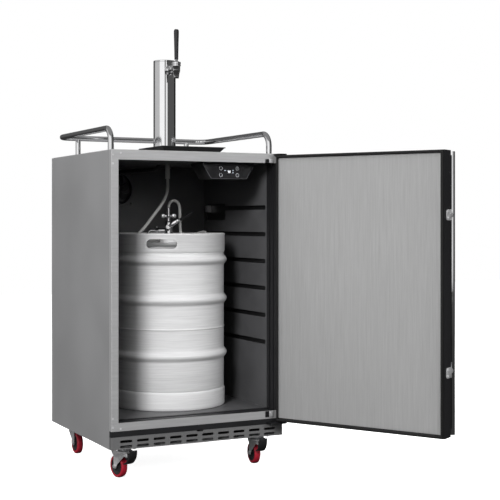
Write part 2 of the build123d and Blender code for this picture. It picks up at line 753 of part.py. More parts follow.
def brake_parts(x, along):
    """Curved foot plate ahead of the wheel on a cross pin, and the lugs and pin that carry it."""
    pivot = along(-pedal_pivot)
    curve = [(-50, 98), (-49, 84), (-42, 68), (-29, 55), (-12, 48.5), (-10, 52), (-26, 58.5), (-38.5, 70.5),
             (-45.5, 85.5), (-46.5, 98)]
    pedal = prism_x([(along(reach), z) for reach, z in curve], (x - 14.0, x + 14.0))
    web = [(-pedal_pivot - 3, 83), (-pedal_pivot + 4, 77), (-24, 58), (-38, 69), (-44, 81)]
    pedal = pedal + prism_x([(along(reach), z) for reach, z in web], (x - 10.5, x + 10.5))
    pedal = pedal + bar((x - 10.5, pivot, pedal_pivot_z), (x + 10.5, pivot, pedal_pivot_z), 5.0)
    pedal = pedal - bar((x - 20, pivot, pedal_pivot_z), (x + 20, pivot, pedal_pivot_z), 2.5 + running_gap)
    lug_y = sorted((along(-pedal_pivot - 5), along(-10)))
    lugs = joined([block((x + s * 12.9 - 1.4, x + s * 12.9 + 1.4), lug_y, (75.0, 88.4)) for s in (-1, 1)])
    pin = bar((x - 14.2, pivot, pedal_pivot_z), (x + 14.2, pivot, pedal_pivot_z), 2.5)
    return pedal, lugs + pin


def caster(x, y, swivel, trail_sign, braked):
    """Swivel caster; the wheel trails the kingpin along Y, then all but the mount is turned."""

    def along(distance):
        return y + trail_sign * distance

    axle_y = along(caster_trail)
    plate_low = body_bottom - 3.6
    mount = block((x - 32, x + 32), (y - 27, y + 27), (plate_low, body_bottom - 0.02))
    mount = fillet(mount.edges().filter_by(Axis.Z), 6)
    race = bar((x, y, 92.6), (x, y, plate_low + 0.5), 20)
    kingpin = bar((x, y, 84.0), (x, y, 93), kingpin_radius)
    head = bar((x, y, 80.6), (x, y, 84.2), 8.5)
    mount = joined([mount, race, kingpin, head])

    reach = fork_gap + fork_plate
    fork = bar((x, y, 85.0), (x, y, 92.0), 25)
    fork = fork + block((x - reach, x + reach), sorted((along(-12), along(30))), (85.0, 88.5))
    fork = fork - bar((x, y, 84), (x, y, 93), kingpin_radius + running_gap)
    outline = [(-16, 88.4), (52, 88.4), (54, 84), (50, 76), (43, 72), (42, 50), (38, 29), (31, 29), (23, 44),
               (-16, 76)]
    for side in (-1, 1):
        fork = fork + prism_x([(along(d), z) for d, z in outline],
                              sorted((x + side * fork_gap, x + side * reach)))
    fork = fork - bar((x - 40, axle_y, wheel_radius), (x + 40, axle_y, wheel_radius), axle_radius)
    ear = block((x - 14, x + 14), sorted((along(50), along(ear_reach))), (84.0, 88.4))
    tab = block((x - 1.6, x + 1.6), sorted((along(60), along(68))), (72.0, 84.2))
    tab = tab - bar((x - 5, along(64), 76.5), (x + 5, along(64), 76.5), 2.0)
    fork = fork + ear + tab
    fork = fork - bar((x - 40, along(47), 81.5), (x + 40, along(47), 81.5), 2.2)
    axle = bar((x - reach - 3, axle_y, wheel_radius), (x + reach + 3, axle_y, wheel_radius), axle_radius)
    for side in (-1, 1):
        axle = axle + bar((x + side * (reach + 0.1), axle_y, wheel_radius),
                          (x + side * (reach + 4.5), axle_y, wheel_radius), 6.5)
    pieces = {"wheel": caster_wheel(x, axle_y)}
    if braked:
        pedal, carrier = brake_parts(x, along)
        fork = fork + carrier
        pieces["pedal"] = [pedal]
    pieces["fork"] = [fork, axle]
    turned_pieces = {"mount": [mount]}
    for name, shapes in pieces.items():
        turned_pieces[name] = [turn_about(item, x, y, swivel) for item in shapes]
    return turned_pieces


# ================================================================ keg
def keg_outline(inset):
    """Half section of the keg's vessel from the lower head to the upper head."""
    r = keg_radius - inset
    rib = rib_radius - inset
    low, high = 66.0, 524.0
    neck_z = 560.0 - inset
    lower_head = [Line((0, 0, 36 + inset), (60, 0, 38 + inset)),
                  ThreePointArc((60, 0, 38 + inset), (130, 0, 44 + inset), (r - 12, 0, 56 + inset)),
                  ThreePointArc((r - 12, 0, 56 + inset), (r - 3, 0, 59 + inset), (r, 0, low + inset))]
    side = []
    z = low + inset
    for rib_low, rib_high, bulge in ((163, 196, rib), (267, 273, r + 1.5), (350, 384, rib), (485, 517, rib)):
        side.append(Line((r, 0, z), (r, 0, rib_low)))
        side.append(ThreePointArc((r, 0, rib_low), (bulge, 0, (rib_low + rib_high) / 2), (r, 0, rib_high)))
        z = rib_high
    side.append(Line((r, 0, z), (r, 0, high - inset)))
    upper_head = [ThreePointArc((r, 0, high - inset), (r - 4, 0, 533 - inset), (r - 13, 0, 538 - inset)),
                  ThreePointArc((r - 13, 0, 538 - inset), (110, 0, 551 - inset), (28, 0, neck_z)),
                  Line((28, 0, neck_z), (0, 0, neck_z)),
                  Line((0, 0, neck_z), (0, 0, 36 + inset))]
    return make_face(lower_head + side + upper_head)


def keg_vessel():
    shell = revolve(keg_outline(0.0), Axis.Z, 360) - revolve(keg_outline(keg_wall), Axis.Z, 360)
    shell = Pos(keg_x, keg_y, keg_bottom) * shell
    return shell - bar((keg_x, keg_y, neck_top - 60), (keg_x, keg_y, neck_top + 9), 24.0)


def keg_chimes():
    """Upper and lower chime rings, with a rolled lip each and two grip slots in the upper one."""
    top = keg_height
    upper = turned([(keg_radius + 0.1, 524), (chime_radius, 528), (chime_radius, top - 6), (chime_radius + 1.5, top - 3),
                    (chime_radius - 1, top), (chime_radius - 6, top - 1), (chime_radius - 6.5, top - 7),
                    (chime_radius - 3, top - 9), (chime_radius - 3, 541), (keg_radius - 3, 532.5)],
                   (keg_x, keg_y, keg_bottom))
    lower = turned([(chime_radius - 3, 59), (chime_radius, 58), (chime_radius, 8), (chime_radius - 2, 1), (chime_radius - 6, 0),
                    (chime_radius - 10, 3), (chime_radius - 8, 6), (chime_radius - 3.5, 9), (chime_radius - 3, 50)],
                   (keg_x, keg_y, keg_bottom))
    for azimuth in (240.0, 60.0):
        cutter = slot_y(0, keg_bottom + 556.5, 103, 33, (-260, -150))
        upper = upper - Pos(keg_x, keg_y, 0) * Rot(0, 0, azimuth + 90) * cutter
    vessel_core = Pos(keg_x, keg_y, keg_bottom) * revolve(keg_outline(0.0), Axis.Z, 360)
    return upper - vessel_core, lower - vessel_core


def keg_neck():
    low = keg_bottom + 553
    neck = pipe((keg_x, keg_y, low), (keg_x, keg_y, neck_top), 24.0, 19.0)
    lip = pipe((keg_x, keg_y, neck_top - 7), (keg_x, keg_y, neck_top), 29.0, 19.0)
    return neck + lip


def keg_spear():
    head = bar((keg_x, keg_y, keg_bottom + 553), (keg_x, keg_y, neck_top - 14), 18.95)
    tube = pipe((keg_x, keg_y, keg_bottom + 46), (keg_x, keg_y, keg_bottom + 554), 8.5, 7.0)
    return head + tube - bar((keg_x, keg_y, neck_top - 24), (keg_x, keg_y, neck_top), 10.0)


# ================================================================ coupler
def coupler_frame(shape):
    """Turn a coupler piece from its own heading, +X, to its place on the keg."""
    return Pos(keg_x, keg_y, 0) * Rot(0, 0, lever_heading) * shape


def coupler_body():
    base = neck_top + 0.4
    flange = bar((0, 0, base), (0, 0, base + 8), 27)
    flange = fillet(flange.edges().group_by(Axis.Z)[-1], 3)
    barrel = bar((0, 0, base + 7), (0, 0, 822), 15.0)
    neck = bar((0, 0, 821), (0, 0, nut_bottom + 0.2), 7.0)
    lugs = bar((0, -18.5, lever_pivot_z), (0, 18.5, lever_pivot_z), 7.5)
    pins = bar((0, -23.0, lever_pivot_z), (0, 23.0, lever_pivot_z), lever_pin_radius)
    body = joined([flange, barrel, neck, lugs, pins])
    return coupler_frame(body - bar((0, 0, base - 1), (0, 0, 814), 8.1))


def coupler_probe():
    tube = pipe((0, 0, neck_top + 3), (0, 0, 797), 8.0, 4.5)
    foot = pipe((0, 0, neck_top - 9), (0, 0, neck_top + 3.1), 7.0, 4.5)
    return coupler_frame(tube + foot)


def coupler_nut():
    """Wing nut with two side lobes on a thin web, and the ribbed barb that holds the hose."""
    nut = bar((0, 0, nut_bottom + 0.3), (0, 0, nut_top), lobe_width / 2 + 0.5)
    web = block((-wing_offset, wing_offset), (-1.6, 1.6), (nut_bottom + 2, nut_top - 4))
    nut = nut + web
    for side in (-1, 1):
        x = side * wing_offset
        lobe = block((x - lobe_width / 2, x + lobe_width / 2), (-4.5, 4.5), (nut_bottom + 0.3, nut_top))
        nut = nut + fillet(lobe.edges().filter_by(Axis.Y), 4.0)
    barb = bar((0, 0, nut_top - 1), (0, 0, ferrule_top), ferrule_radius - 0.8)
    rib_pitch = 5.0
    for index in range(4):
        z = nut_top + 1.5 + index * rib_pitch
        barb = barb + bar((0, 0, z), (0, 0, z + 3.2), ferrule_radius)
    return coupler_frame(nut + barb)


def gas_inlet():
    """Side port with its nut and a tail that bends down; the nut is bored out round the relief valve."""
    port = bar((-14.0, 0, gas_z), (-36, 0, gas_z), 7.0)
    nut = bar((-34, 0, gas_z), (-46, 0, gas_z), 10.0)
    nut = nut - bar((valve_x, 0, valve_seat), (valve_x, 0, gas_z + 12), 4.6)
    tail = swept_tube([(-45, 0, gas_z), (-68, 0, gas_z), (-76, 0, gas_z - 24)], [12], 4.6)
    barrel = bar((0, 0, gas_z - 30), (0, 0, gas_z + 30), 15.02)
    return coupler_frame(joined([port, nut, tail]) - barrel)


def relief_valve():
    stem = bar((valve_x, 0, valve_seat + 0.3), (valve_x, 0, valve_seat + 2.9), 1.6)
    knob = Pos(valve_x, 0, valve_seat + 5.3) * Sphere(3.4)
    return coupler_frame(stem + knob)


def coupler_lever():
    """Forked lever, drawn level and then raised about its pivot pins."""
    fork = joined([block((0, 36), sorted((s * 18.9, s * 22.4)), (-5.5, 5.5)) for s in (-1, 1)])
    eyes = joined([bar((0, s * 18.9, 0), (0, s * 22.4, 0), 8.0) for s in (-1, 1)])
    bridge = block((34, 42), (-22.4, 22.4), (-5, 5))
    socket = bar((41, 0, 0), (47, 0, 0), 6.0)
    grip = bar((46, 0, 0), (lever_length - 4.6, 0, 0), 4.6) + Pos(lever_length - 4.6, 0, 0) * Sphere(4.6)
    pin_holes = bar((0, -30, 0), (0, 30, 0), lever_pin_radius + running_gap)
    shape = joined([fork, eyes, bridge, socket, grip]) - pin_holes
    return coupler_frame(Pos(0, 0, lever_pivot_z) * Rot(0, -lever_rise, 0) * shape)


# ================================================================ beer line
route = [
    (line_x, line_y, sleeve_bottom - 1.0), (12, -17, 932), (-22, -46, 886), (-63, -60, 843), (-105, -76, 798),
    (-140, -62, 764), (-150, -10, 752), (-135, 50, 752), (-90, 105, 752), (-30, 138, 753), (40, 140, 755),
    (100, 112, 762), (142, 64, 775), (163, 8, 790), (150, -33, 778), (104, -46, 760), (65, 2, 768),
    (64, 2.6, 832), (62.4, 3.4, 896.3), (keg_x, keg_y, 896), (keg_x, keg_y, ferrule_top),
]


def corner_radii(points):
    """Largest arc that each corner's two runs allow; the end runs may be used up whole."""
    runs = [Vector(*after) - Vector(*before) for before, after in zip(points, points[1:])]
    reach = [run.length for run in runs]
    reach[0] = reach[0] * 2
    reach[-1] = reach[-1] * 2
    radii = []
    for index in range(len(runs) - 1):
        half_turn = radians(runs[index].get_angle(runs[index + 1])) / 2
        radii.append(0.45 * min(reach[index], reach[index + 1]) / tan(half_turn))
    return radii


def beer_line():
    radii = corner_radii(route)
    line = swept_tube(route, radii, hose_radius)
    length = FilletPolyline(*route, radius=radii).length
    print("beer line length", round(length, 1), "volume ratio",
          round(line.volume / (length * pi * hose_radius ** 2), 4))
    print("beer line radii", [round(r) for r in radii])
    return line


def tower_line_and_sleeve():
    sleeve = pipe((line_x, line_y, sleeve_bottom), (line_x, line_y, cabinet_top + 30), 8.5, hose_radius + 0.1)
    points = [(line_x, line_y, sleeve_bottom), (line_x, line_y, 1180), (tower_x, -20, 1262), (tower_x, -20, tap_z - 26)]
    return [swept_tube(points, [120, 120], hose_radius), sleeve]


# ================================================================ write every node
def save_cabinet():
    save("outer_wrap", outer_wrap())
    save("front_frame", front_frame())
    save("kick_grille", kick_grille())
    save("trim_strip", trim_strip())
    save("mouth_trim", mouth_trim())
    save("inner_liner", inner_liner())
    save("insulation_foam", insulation_foam())
    save("base_pan", deck_and_base())
    save("rear_panels", [back_panel(), rear_cover()])
    save("cord_gland", cord_gland())
    save("compressor", [compressor()] + compressor_mounts())
    save("condenser", [condenser_coil()] + condenser_straps())
    save("fan_frame", fan_frame())
    save("evaporator_fan", evaporator_fan())
    save("tower_air_tube", tower_air_tube())
    save("probe_clip", probe_clip())
    save("control_housing", control_housing())
    save("control_panel", control_panel())
    save("display_and_lamps", [display_window()] + indicator_lamps())
    for index, (x, z) in enumerate(button_places(), start=1):
        save(f"button_{index}", button(x, z))


def save_top():
    save("guard_rail", [guard_rail()] + rail_posts())
    save("draft_tower", tower_parts())
    save("drip_tray", drip_tray())
    save("drip_grille", drip_grille())
    save("faucet", [faucet_shank(), faucet_body()])
    save("faucet_shaft", faucet_shaft())
    save("faucet_lever", faucet_lever())
    save("tap_handle", tap_handle())


def save_door():
    for name, shapes in door_parts().items():
        save(name, shapes)
    plates, pads = hinge_rail_plates()
    save("hinge_brackets", hinge_brackets() + pads)
    save("frame_screws", corner_screws() + bracket_screws() + plates)


def save_keg():
    save("keg_shell", [keg_vessel(), keg_neck()])
    save("keg_chimes", list(keg_chimes()))
    save("keg_spear", keg_spear())
    save("coupler_body", [coupler_body(), gas_inlet()])
    save("coupler_probe", coupler_probe())
    save("coupler_nut", coupler_nut())
    save("relief_valve", relief_valve())
    save("coupler_lever", coupler_lever())
    save("beer_line", beer_line())
    save("tower_beer_line", tower_line_and_sleeve())


def save_casters():
    places = {"front_left": (-kingpin_x, -kingpin_y, 13.0, 1, True),
              "front_right": (kingpin_x, -kingpin_y, -4.5, 1, True),
              "rear_left": (-kingpin_x, kingpin_y, 0.0, -1, False),
              "rear_right": (kingpin_x, kingpin_y, 0.0, -1, False)}
    mounts = []
    for name, place in places.items():
        pieces = caster(*place)
        mounts.extend(pieces["mount"])
        save(f"caster_fork_{name}", pieces["fork"])
        save(f"caster_wheel_{name}", pieces["wheel"])
        if "pedal" in pieces:
            save(f"brake_pedal_{name}", pieces["pedal"])
    save("caster_mounts", mounts)


os.makedirs("parts", exist_ok=True)
save_cabinet()
save_top()
save_door()
save_keg()
save_casters()
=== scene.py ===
import json
import math

import bmesh
import bpy
from mathutils import Matrix, Vector


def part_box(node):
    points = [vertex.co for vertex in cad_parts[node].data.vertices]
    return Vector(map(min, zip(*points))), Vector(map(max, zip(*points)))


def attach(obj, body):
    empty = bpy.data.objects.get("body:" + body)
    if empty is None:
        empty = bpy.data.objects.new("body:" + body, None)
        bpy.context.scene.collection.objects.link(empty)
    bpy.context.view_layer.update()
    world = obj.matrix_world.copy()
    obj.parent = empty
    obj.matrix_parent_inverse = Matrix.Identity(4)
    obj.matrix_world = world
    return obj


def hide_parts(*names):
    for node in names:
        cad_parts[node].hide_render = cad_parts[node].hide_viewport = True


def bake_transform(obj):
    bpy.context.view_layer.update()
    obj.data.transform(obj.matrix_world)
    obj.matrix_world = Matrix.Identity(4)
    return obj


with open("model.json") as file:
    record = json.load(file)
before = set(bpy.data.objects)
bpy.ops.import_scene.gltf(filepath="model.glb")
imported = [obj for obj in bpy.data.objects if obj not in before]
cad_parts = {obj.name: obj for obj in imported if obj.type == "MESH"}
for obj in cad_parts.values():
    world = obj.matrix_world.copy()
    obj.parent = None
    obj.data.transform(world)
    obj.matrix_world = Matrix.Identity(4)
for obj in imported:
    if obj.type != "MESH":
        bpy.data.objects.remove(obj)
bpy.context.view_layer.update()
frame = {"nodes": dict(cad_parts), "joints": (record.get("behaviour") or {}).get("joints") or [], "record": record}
NODES = frame["nodes"]
MM = 0.001
TAU = 2 * math.pi


# ================================================================ material helpers
class Graph:
    """A node material whose colour, roughness and bump are built up by small calls."""

    def __init__(self, name, color, metallic=0.0, roughness=0.5, **sockets):
        self.mat = bpy.data.materials.new(name)
        self.mat.use_nodes = True
        self.tree = self.mat.node_tree
        self.nodes = self.tree.nodes
        self.shader = self.nodes["Principled BSDF"]
        self.shader.inputs["Base Color"].default_value = (*color, 1.0)
        self.shader.inputs["Metallic"].default_value = metallic
        self.shader.inputs["Roughness"].default_value = roughness
        for key, value in sockets.items():
            self.shader.inputs[key.replace("_", " ")].default_value = value
        self.coords = self.nodes.new("ShaderNodeTexCoord").outputs["Object"]
        self.normal = None

    def link(self, a, b):
        self.tree.links.new(a, b)

    def mapped(self, scale):
        node = self.nodes.new("ShaderNodeMapping")
        node.inputs["Scale"].default_value = scale
        self.link(self.coords, node.inputs["Vector"])
        return node.outputs["Vector"]

    def noise(self, scale, detail=3.0, stretch=(1, 1, 1), roughness=0.5):
        node = self.nodes.new("ShaderNodeTexNoise")
        node.inputs["Scale"].default_value = scale
        node.inputs["Detail"].default_value = detail
        node.inputs["Roughness"].default_value = roughness
        self.link(self.mapped(stretch), node.inputs["Vector"])
        return node.outputs["Fac"]

    def ramp(self, factor, low, high, start=0.35, end=0.65):
        node = self.nodes.new("ShaderNodeMapRange")
        node.inputs["From Min"].default_value = start
        node.inputs["From Max"].default_value = end
        node.inputs["To Min"].default_value = low
        node.inputs["To Max"].default_value = high
        self.link(factor, node.inputs["Value"])
        return node.outputs["Result"]

    def height(self, z_low, z_high, low, high):
        """A value that runs from low to high between two heights of the row frame."""
        split = self.nodes.new("ShaderNodeSeparateXYZ")
        self.link(self.coords, split.inputs["Vector"])
        return self.ramp(split.outputs["Z"], low, high, z_low, z_high)

    def sideways(self, x_near, x_far, near, far):
        """A value that runs from near to far between two distances from the row frame's middle plane."""
        split = self.nodes.new("ShaderNodeSeparateXYZ")
        self.link(self.coords, split.inputs["Vector"])
        distance = self.nodes.new("ShaderNodeMath")
        distance.operation = "ABSOLUTE"
        self.link(split.outputs["X"], distance.inputs[0])
        return self.ramp(distance.outputs["Value"], near, far, x_near, x_far)

    def mix(self, factor, color_a, color_b):
        node = self.nodes.new("ShaderNodeMix")
        node.data_type = "RGBA"
        for socket, color in ((node.inputs[6], color_a), (node.inputs[7], color_b)):
            if isinstance(color, tuple):
                socket.default_value = (*color, 1.0)
            else:
                self.link(color, socket)
        self.link(factor, node.inputs[0])
        return node.outputs[2]

    def color(self, output):
        self.link(output, self.shader.inputs["Base Color"])
        return self

    def rough(self, output):
        self.link(output, self.shader.inputs["Roughness"])
        return self

    def bump(self, output, strength, distance):
        node = self.nodes.new("ShaderNodeBump")
        node.inputs["Strength"].default_value = strength
        node.inputs["Distance"].default_value = distance
        self.link(output, node.inputs["Height"])
        if self.normal is not None:
            self.link(self.normal, node.inputs["Normal"])
        self.normal = node.outputs["Normal"]
        self.link(self.normal, self.shader.inputs["Normal"])
        return self


def scaled(color, factor):
    return tuple(min(1.0, c * factor) for c in color)


def sheet_paint(name, color, roughness):
    """Painted sheet: a faint orange peel, cloudy gloss and a little dirt."""
    g = Graph(name, color, 0.35, roughness)
    cloud = g.noise(3.0, 2.0)
    g.color(g.mix(g.ramp(cloud, 0.0, 1.0), scaled(color, 0.95), scaled(color, 1.05)))
    g.rough(g.ramp(cloud, roughness - 0.04, roughness + 0.05))
    return g.bump(g.noise(900.0, 2.0), 0.08, 0.0004).mat


def brushed(name, color, roughness, stretch, metallic=1.0, strength=0.10):
    """Brushed metal: fine streaks along one direction in colour, gloss and relief."""
    g = Graph(name, color, metallic, roughness)
    streaks = g.noise(240.0, 4.0, stretch, 0.7)
    cloud = g.noise(2.2, 2.0)
    streak_color = g.mix(g.ramp(streaks, 0.0, 1.0, 0.3, 0.7), scaled(color, 0.90), scaled(color, 1.08))
    g.color(g.mix(g.ramp(cloud, 0.0, 0.25), streak_color, scaled(color, 0.88)))
    g.rough(g.ramp(streaks, roughness - 0.05, roughness + 0.08, 0.3, 0.7))
    return g.bump(streaks, strength, 0.0003).mat


def polished(name, color, roughness):
    """Polished metal with a trace of haze."""
    g = Graph(name, color, 1.0, roughness)
    haze = g.noise(35.0, 3.0)
    g.rough(g.ramp(haze, roughness, roughness + 0.05))
    g.color(g.mix(g.ramp(haze, 0.0, 1.0), scaled(color, 0.97), color))
    return g.bump(g.noise(1200.0, 1.0), 0.015, 0.0002).mat


def plastic(name, color, roughness, grain=700.0, strength=0.15):
    """Moulded plastic with a fine grain."""
    g = Graph(name, color, 0.0, roughness)
    cloud = g.noise(9.0, 3.0)
    g.color(g.mix(g.ramp(cloud, 0.0, 1.0), scaled(color, 0.88), scaled(color, 1.14)))
    g.rough(g.ramp(cloud, roughness - 0.05, roughness + 0.06))
    return g.bump(g.noise(grain, 2.0), strength, 0.0003).mat


def zinc_plate(name, color):
    """Zinc-plated steel: bright with cloudy patches."""
    g = Graph(name, color, 0.55, 0.36)
    patch = g.noise(60.0, 5.0, roughness=0.65)
    g.color(g.mix(g.ramp(patch, 0.0, 1.0), scaled(color, 0.78), scaled(color, 1.1)))
    g.rough(g.ramp(patch, 0.28, 0.46))
    return g.bump(patch, 0.06, 0.0004).mat


def liner_plastic_with_painted_groove_shade(name, color, roughness):
    """The liner's plastic, with painted shade: darker inside the shelf grooves, which lie outside its flat walls.
    """
    g = Graph(name, color, 0.0, roughness)
    cloud = g.noise(9.0, 3.0)
    base = g.mix(g.ramp(cloud, 0.0, 1.0), scaled(color, 0.9), scaled(color, 1.12))
    # painted shade: past the flat walls' plane the colour drops to 12 per cent, standing in for the shade deep in
    # the grooves
    g.color(g.mix(g.sideways(0.2752, 0.2775, 0.0, 1.0), base, scaled(color, 0.12)))
    g.rough(g.ramp(cloud, roughness - 0.05, roughness + 0.06))
    return g.bump(g.noise(350.0, 2.0), 0.12, 0.0003).mat


def make_materials():
    m = {}
    m["painted_grey"] = sheet_paint("painted_grey", (0.32, 0.32, 0.325), 0.42)
    m["frame_steel"] = brushed("frame_steel", (0.50, 0.50, 0.505), 0.40, (0.05, 1, 1), 0.5)
    m["door_steel"] = brushed("door_steel", (0.56, 0.56, 0.56), 0.36, (1, 1, 0.03), 0.7, 0.06)
    m["keg_steel"] = brushed("keg_steel", (0.80, 0.80, 0.805), 0.50, (0.03, 0.03, 1), 0.35, 0.05)
    m["black_metal"] = sheet_paint("black_metal", (0.012, 0.012, 0.013), 0.38)
    m["chrome"] = polished("chrome", (0.86, 0.86, 0.87), 0.05)
    m["zinc"] = zinc_plate("zinc", (0.70, 0.70, 0.71))
    m["black_plastic"] = plastic("black_plastic", (0.012, 0.012, 0.013), 0.46)
    m["gloss_black"] = plastic("gloss_black", (0.014, 0.014, 0.015), 0.16, 400.0, 0.03)
    # the liner grey carries painted shade in its shelf grooves
    m["liner_grey"] = liner_plastic_with_painted_groove_shade("liner_grey", (0.075, 0.075, 0.078), 0.42)
    m["grille_grey"] = sheet_paint("grille_grey", (0.17, 0.17, 0.172), 0.42)
    m["foam"] = plastic("foam", (0.72, 0.66, 0.46), 0.9, 160.0, 0.6)
    m["gasket_rubber"] = plastic("gasket_rubber", (0.010, 0.010, 0.010), 0.55)
    m["caster_wheel"] = plastic("caster_red", (0.30, 0.012, 0.025), 0.42, 500.0, 0.1)
    m["white_metal"] = zinc_plate("white_metal", (0.50, 0.50, 0.51))
    m["display"] = plastic("display", (0.006, 0.006, 0.007), 0.12, 400.0, 0.02)
    tube = Graph("tube_pale", (0.50, 0.50, 0.49), 0.0, 0.22, Transmission_Weight=0.35, IOR=1.43)
    tube.bump(tube.noise(60.0, 2.0), 0.05, 0.0006)
    m["tube_pale"] = tube.mat
    m["rim_grey"] = plastic("rim_grey", (0.16, 0.16, 0.17), 0.35)
    m["mark_white"] = plastic("mark_white", (0.75, 0.77, 0.80), 0.5)
    m["aluminium"] = brushed("aluminium", (0.70, 0.70, 0.71), 0.34, (1, 1, 0.1))
    return m


MATERIALS = make_materials()
SLOT_OF = {row["node"]: row["material_slot"] for row in frame["record"]["subparts"]}
for node_name, node in NODES.items():
    slot_name = "grille_grey" if node_name == "kick_grille" else SLOT_OF[node_name]
    node.data.materials.clear()
    node.data.materials.append(MATERIALS[slot_name])


# ================================================================ camera, light and backdrop
def look(from_point, at_point):
    return (Vector(at_point) - Vector(from_point)).to_track_quat("-Z", "Y").to_euler()


def add_camera():
    camera_data = bpy.data.cameras.new("camera")
    camera_data.sensor_width = 36.0
    camera_data.lens = 85.2
    camera_data.shift_y = -0.0605
    camera_data.clip_end = 60.0
    camera = bpy.data.objects.new("camera", camera_data)
    camera.location = (-1.5997, -3.8127, 0.830)
    camera.rotation_euler = (math.radians(90), 0, math.radians(-26.95))
    bpy.context.collection.objects.link(camera)
    bpy.context.scene.camera = camera


def add_area(name, location, target, size, power):
    light_data = bpy.data.lights.new(name, "AREA")
    light_data.shape = "RECTANGLE"
    light_data.size = size[0]
    light_data.size_y = size[1]
    light_data.energy = power
    light = bpy.data.objects.new(name, light_data)
    light.location = location
    light.rotation_euler = look(location, target)
    light.visible_glossy = False
    bpy.context.collection.objects.link(light)


def math_node(tree, operation, *values):
    node = tree.nodes.new("ShaderNodeMath")
    node.operation = operation
    for index, value in enumerate(values):
        if isinstance(value, (int, float)):
            node.inputs[index].default_value = value
        else:
            tree.links.new(value, node.inputs[index])
    return node.outputs["Value"]


def direction_part(tree, coordinates, axis):
    node = tree.nodes.new("ShaderNodeVectorMath")
    node.operation = "DOT_PRODUCT"
    node.inputs[1].default_value = axis
    tree.links.new(coordinates.outputs["Generated"], node.inputs[0])
    return node.outputs["Value"]


# Brightness of the studio round the compass, from each heading in degrees on; 0 is towards the viewer.
STUDIO_BANDS = [(-180, 0.10), (-114, 0.55), (-47, 1.05), (5, 0.24), (18, 0.95), (35, 0.09), (123, 0.015)]
STUDIO_CEILING = 0.25
STUDIO_GROUND = 0.10


def add_world():
    """A studio of soft boxes and flags, which bright metal mirrors as bands, before white."""
    world = bpy.data.worlds.new("studio")
    bpy.context.scene.world = world
    world.use_nodes = True
    tree = world.node_tree
    coordinates = tree.nodes.new("ShaderNodeTexCoord")
    towards = direction_part(tree, coordinates, (-0.453, -0.891, 0))
    across = direction_part(tree, coordinates, (0.891, -0.453, 0))
    rise = direction_part(tree, coordinates, (0, 0, 1))
    heading = math_node(tree, "ARCTAN2", across, towards)
    turn_share = math_node(tree, "MULTIPLY_ADD", heading, 1 / TAU, 0.5)
    ramp = tree.nodes.new("ShaderNodeValToRGB")
    ramp.color_ramp.interpolation = "LINEAR"
    stops = ramp.color_ramp.elements
    blur = 0.004
    places = []
    for index, (start, level) in enumerate(STUDIO_BANDS):
        low = (start + 180) / 360 + (blur if index else 0.0)
        high = (STUDIO_BANDS[index + 1][0] + 180) / 360 - blur if index + 1 < len(STUDIO_BANDS) else 1.0
        places += [(low, level), (high, level)]
    while len(stops) < len(places):
        stops.new(0.5)
    for stop, (position, level) in zip(stops, places):
        stop.position = position
        stop.color = (level, level, level, 1.0)
    tree.links.new(turn_share, ramp.inputs["Fac"])
    shade = ramp.outputs["Color"]
    for zone, level in ((math_node(tree, "GREATER_THAN", rise, 0.62), STUDIO_CEILING),
                        (math_node(tree, "LESS_THAN", rise, -0.05), STUDIO_GROUND)):
        part = tree.nodes.new("ShaderNodeMix")
        part.data_type = "RGBA"
        tree.links.new(zone, part.inputs["Factor"])
        tree.links.new(shade, part.inputs["A"])
        part.inputs["B"].default_value = (level, level, level, 1.0)
        shade = part.outputs["Result"]
    studio = tree.nodes["Background"]
    tree.links.new(shade, studio.inputs["Color"])
    fall = math_node(tree, "MULTIPLY_ADD", rise, 2.5, 0.875)
    fall = math_node(tree, "MAXIMUM", math_node(tree, "MINIMUM", fall, 1.0), 0.35)
    tree.links.new(fall, studio.inputs["Strength"])
    white = tree.nodes.new("ShaderNodeBackground")
    white.inputs["Color"].default_value = (1.0, 1.0, 1.0, 1.0)
    white.inputs["Strength"].default_value = 1.0
    path = tree.nodes.new("ShaderNodeLightPath")
    mix = tree.nodes.new("ShaderNodeMixShader")
    tree.links.new(path.outputs["Is Camera Ray"], mix.inputs["Fac"])
    tree.links.new(studio.outputs["Background"], mix.inputs[1])
    tree.links.new(white.outputs["Background"], mix.inputs[2])
    tree.links.new(mix.outputs["Shader"], tree.nodes["World Output"].inputs["Surface"])


def add_floor():
    mesh = bpy.data.meshes.new("floor")
    half = 9.0
    corners = [(-half, -half, 0), (half, -half, 0), (half, half, 0), (-half, half, 0)]
    mesh.from_pydata(corners, [], [(0, 1, 2, 3)])
    floor = bpy.data.objects.new("floor", mesh)
    bpy.context.collection.objects.link(floor)
    material = Graph("floor_white", (0.9, 0.9, 0.9), 0.0, 0.9, Emission_Strength=0.84)
    mesh.materials.append(material.mat)
    floor.visible_glossy = False
    floor.visible_diffuse = False


add_camera()
add_world()
add_floor()
add_area("key", (-3.15, -3.5, 3.1), (0, 0, 0.8), (1.2, 1.7), 235)
add_area("fill", (1.7, -4.2, 2.0), (0, 0, 0.8), (1.6, 1.6), 90)
add_area("left", (-4.2, -0.4, 0.7), (0, 0, 0.4), (2.0, 1.2), 40)
add_area("right", (4.6, 1.0, 2.2), (0, 0, 0.7), (2.0, 2.0), 150)
add_area("back", (-0.8, 4.8, 2.4), (0, 0, 0.7), (2.0, 2.0), 150)
add_area("top", (0, -0.4, 4.2), (0, 0, 0.9), (3.0, 3.0), 70)
bpy.context.scene.view_settings.view_transform = "Standard"


# ================================================================ beer line, a free cord
ROUTE = [(11, -12, 971), (12, -17, 932), (-22, -46, 886), (-63, -60, 843), (-105, -76, 798),
         (-140, -62, 764), (-150, -10, 752), (-135, 50, 752), (-90, 105, 752), (-30, 138, 753),
         (40, 140, 755), (100, 112, 762), (142, 64, 775), (163, 8, 790), (150, -33, 778), (104, -46, 760),
         (65, 2, 768), (64, 2.6, 832), (62.4, 3.4, 896.3), (16.5, -7.7, 896), (16.5, -7.7, 872)]
HOSE_RADIUS = 5.25 * MM


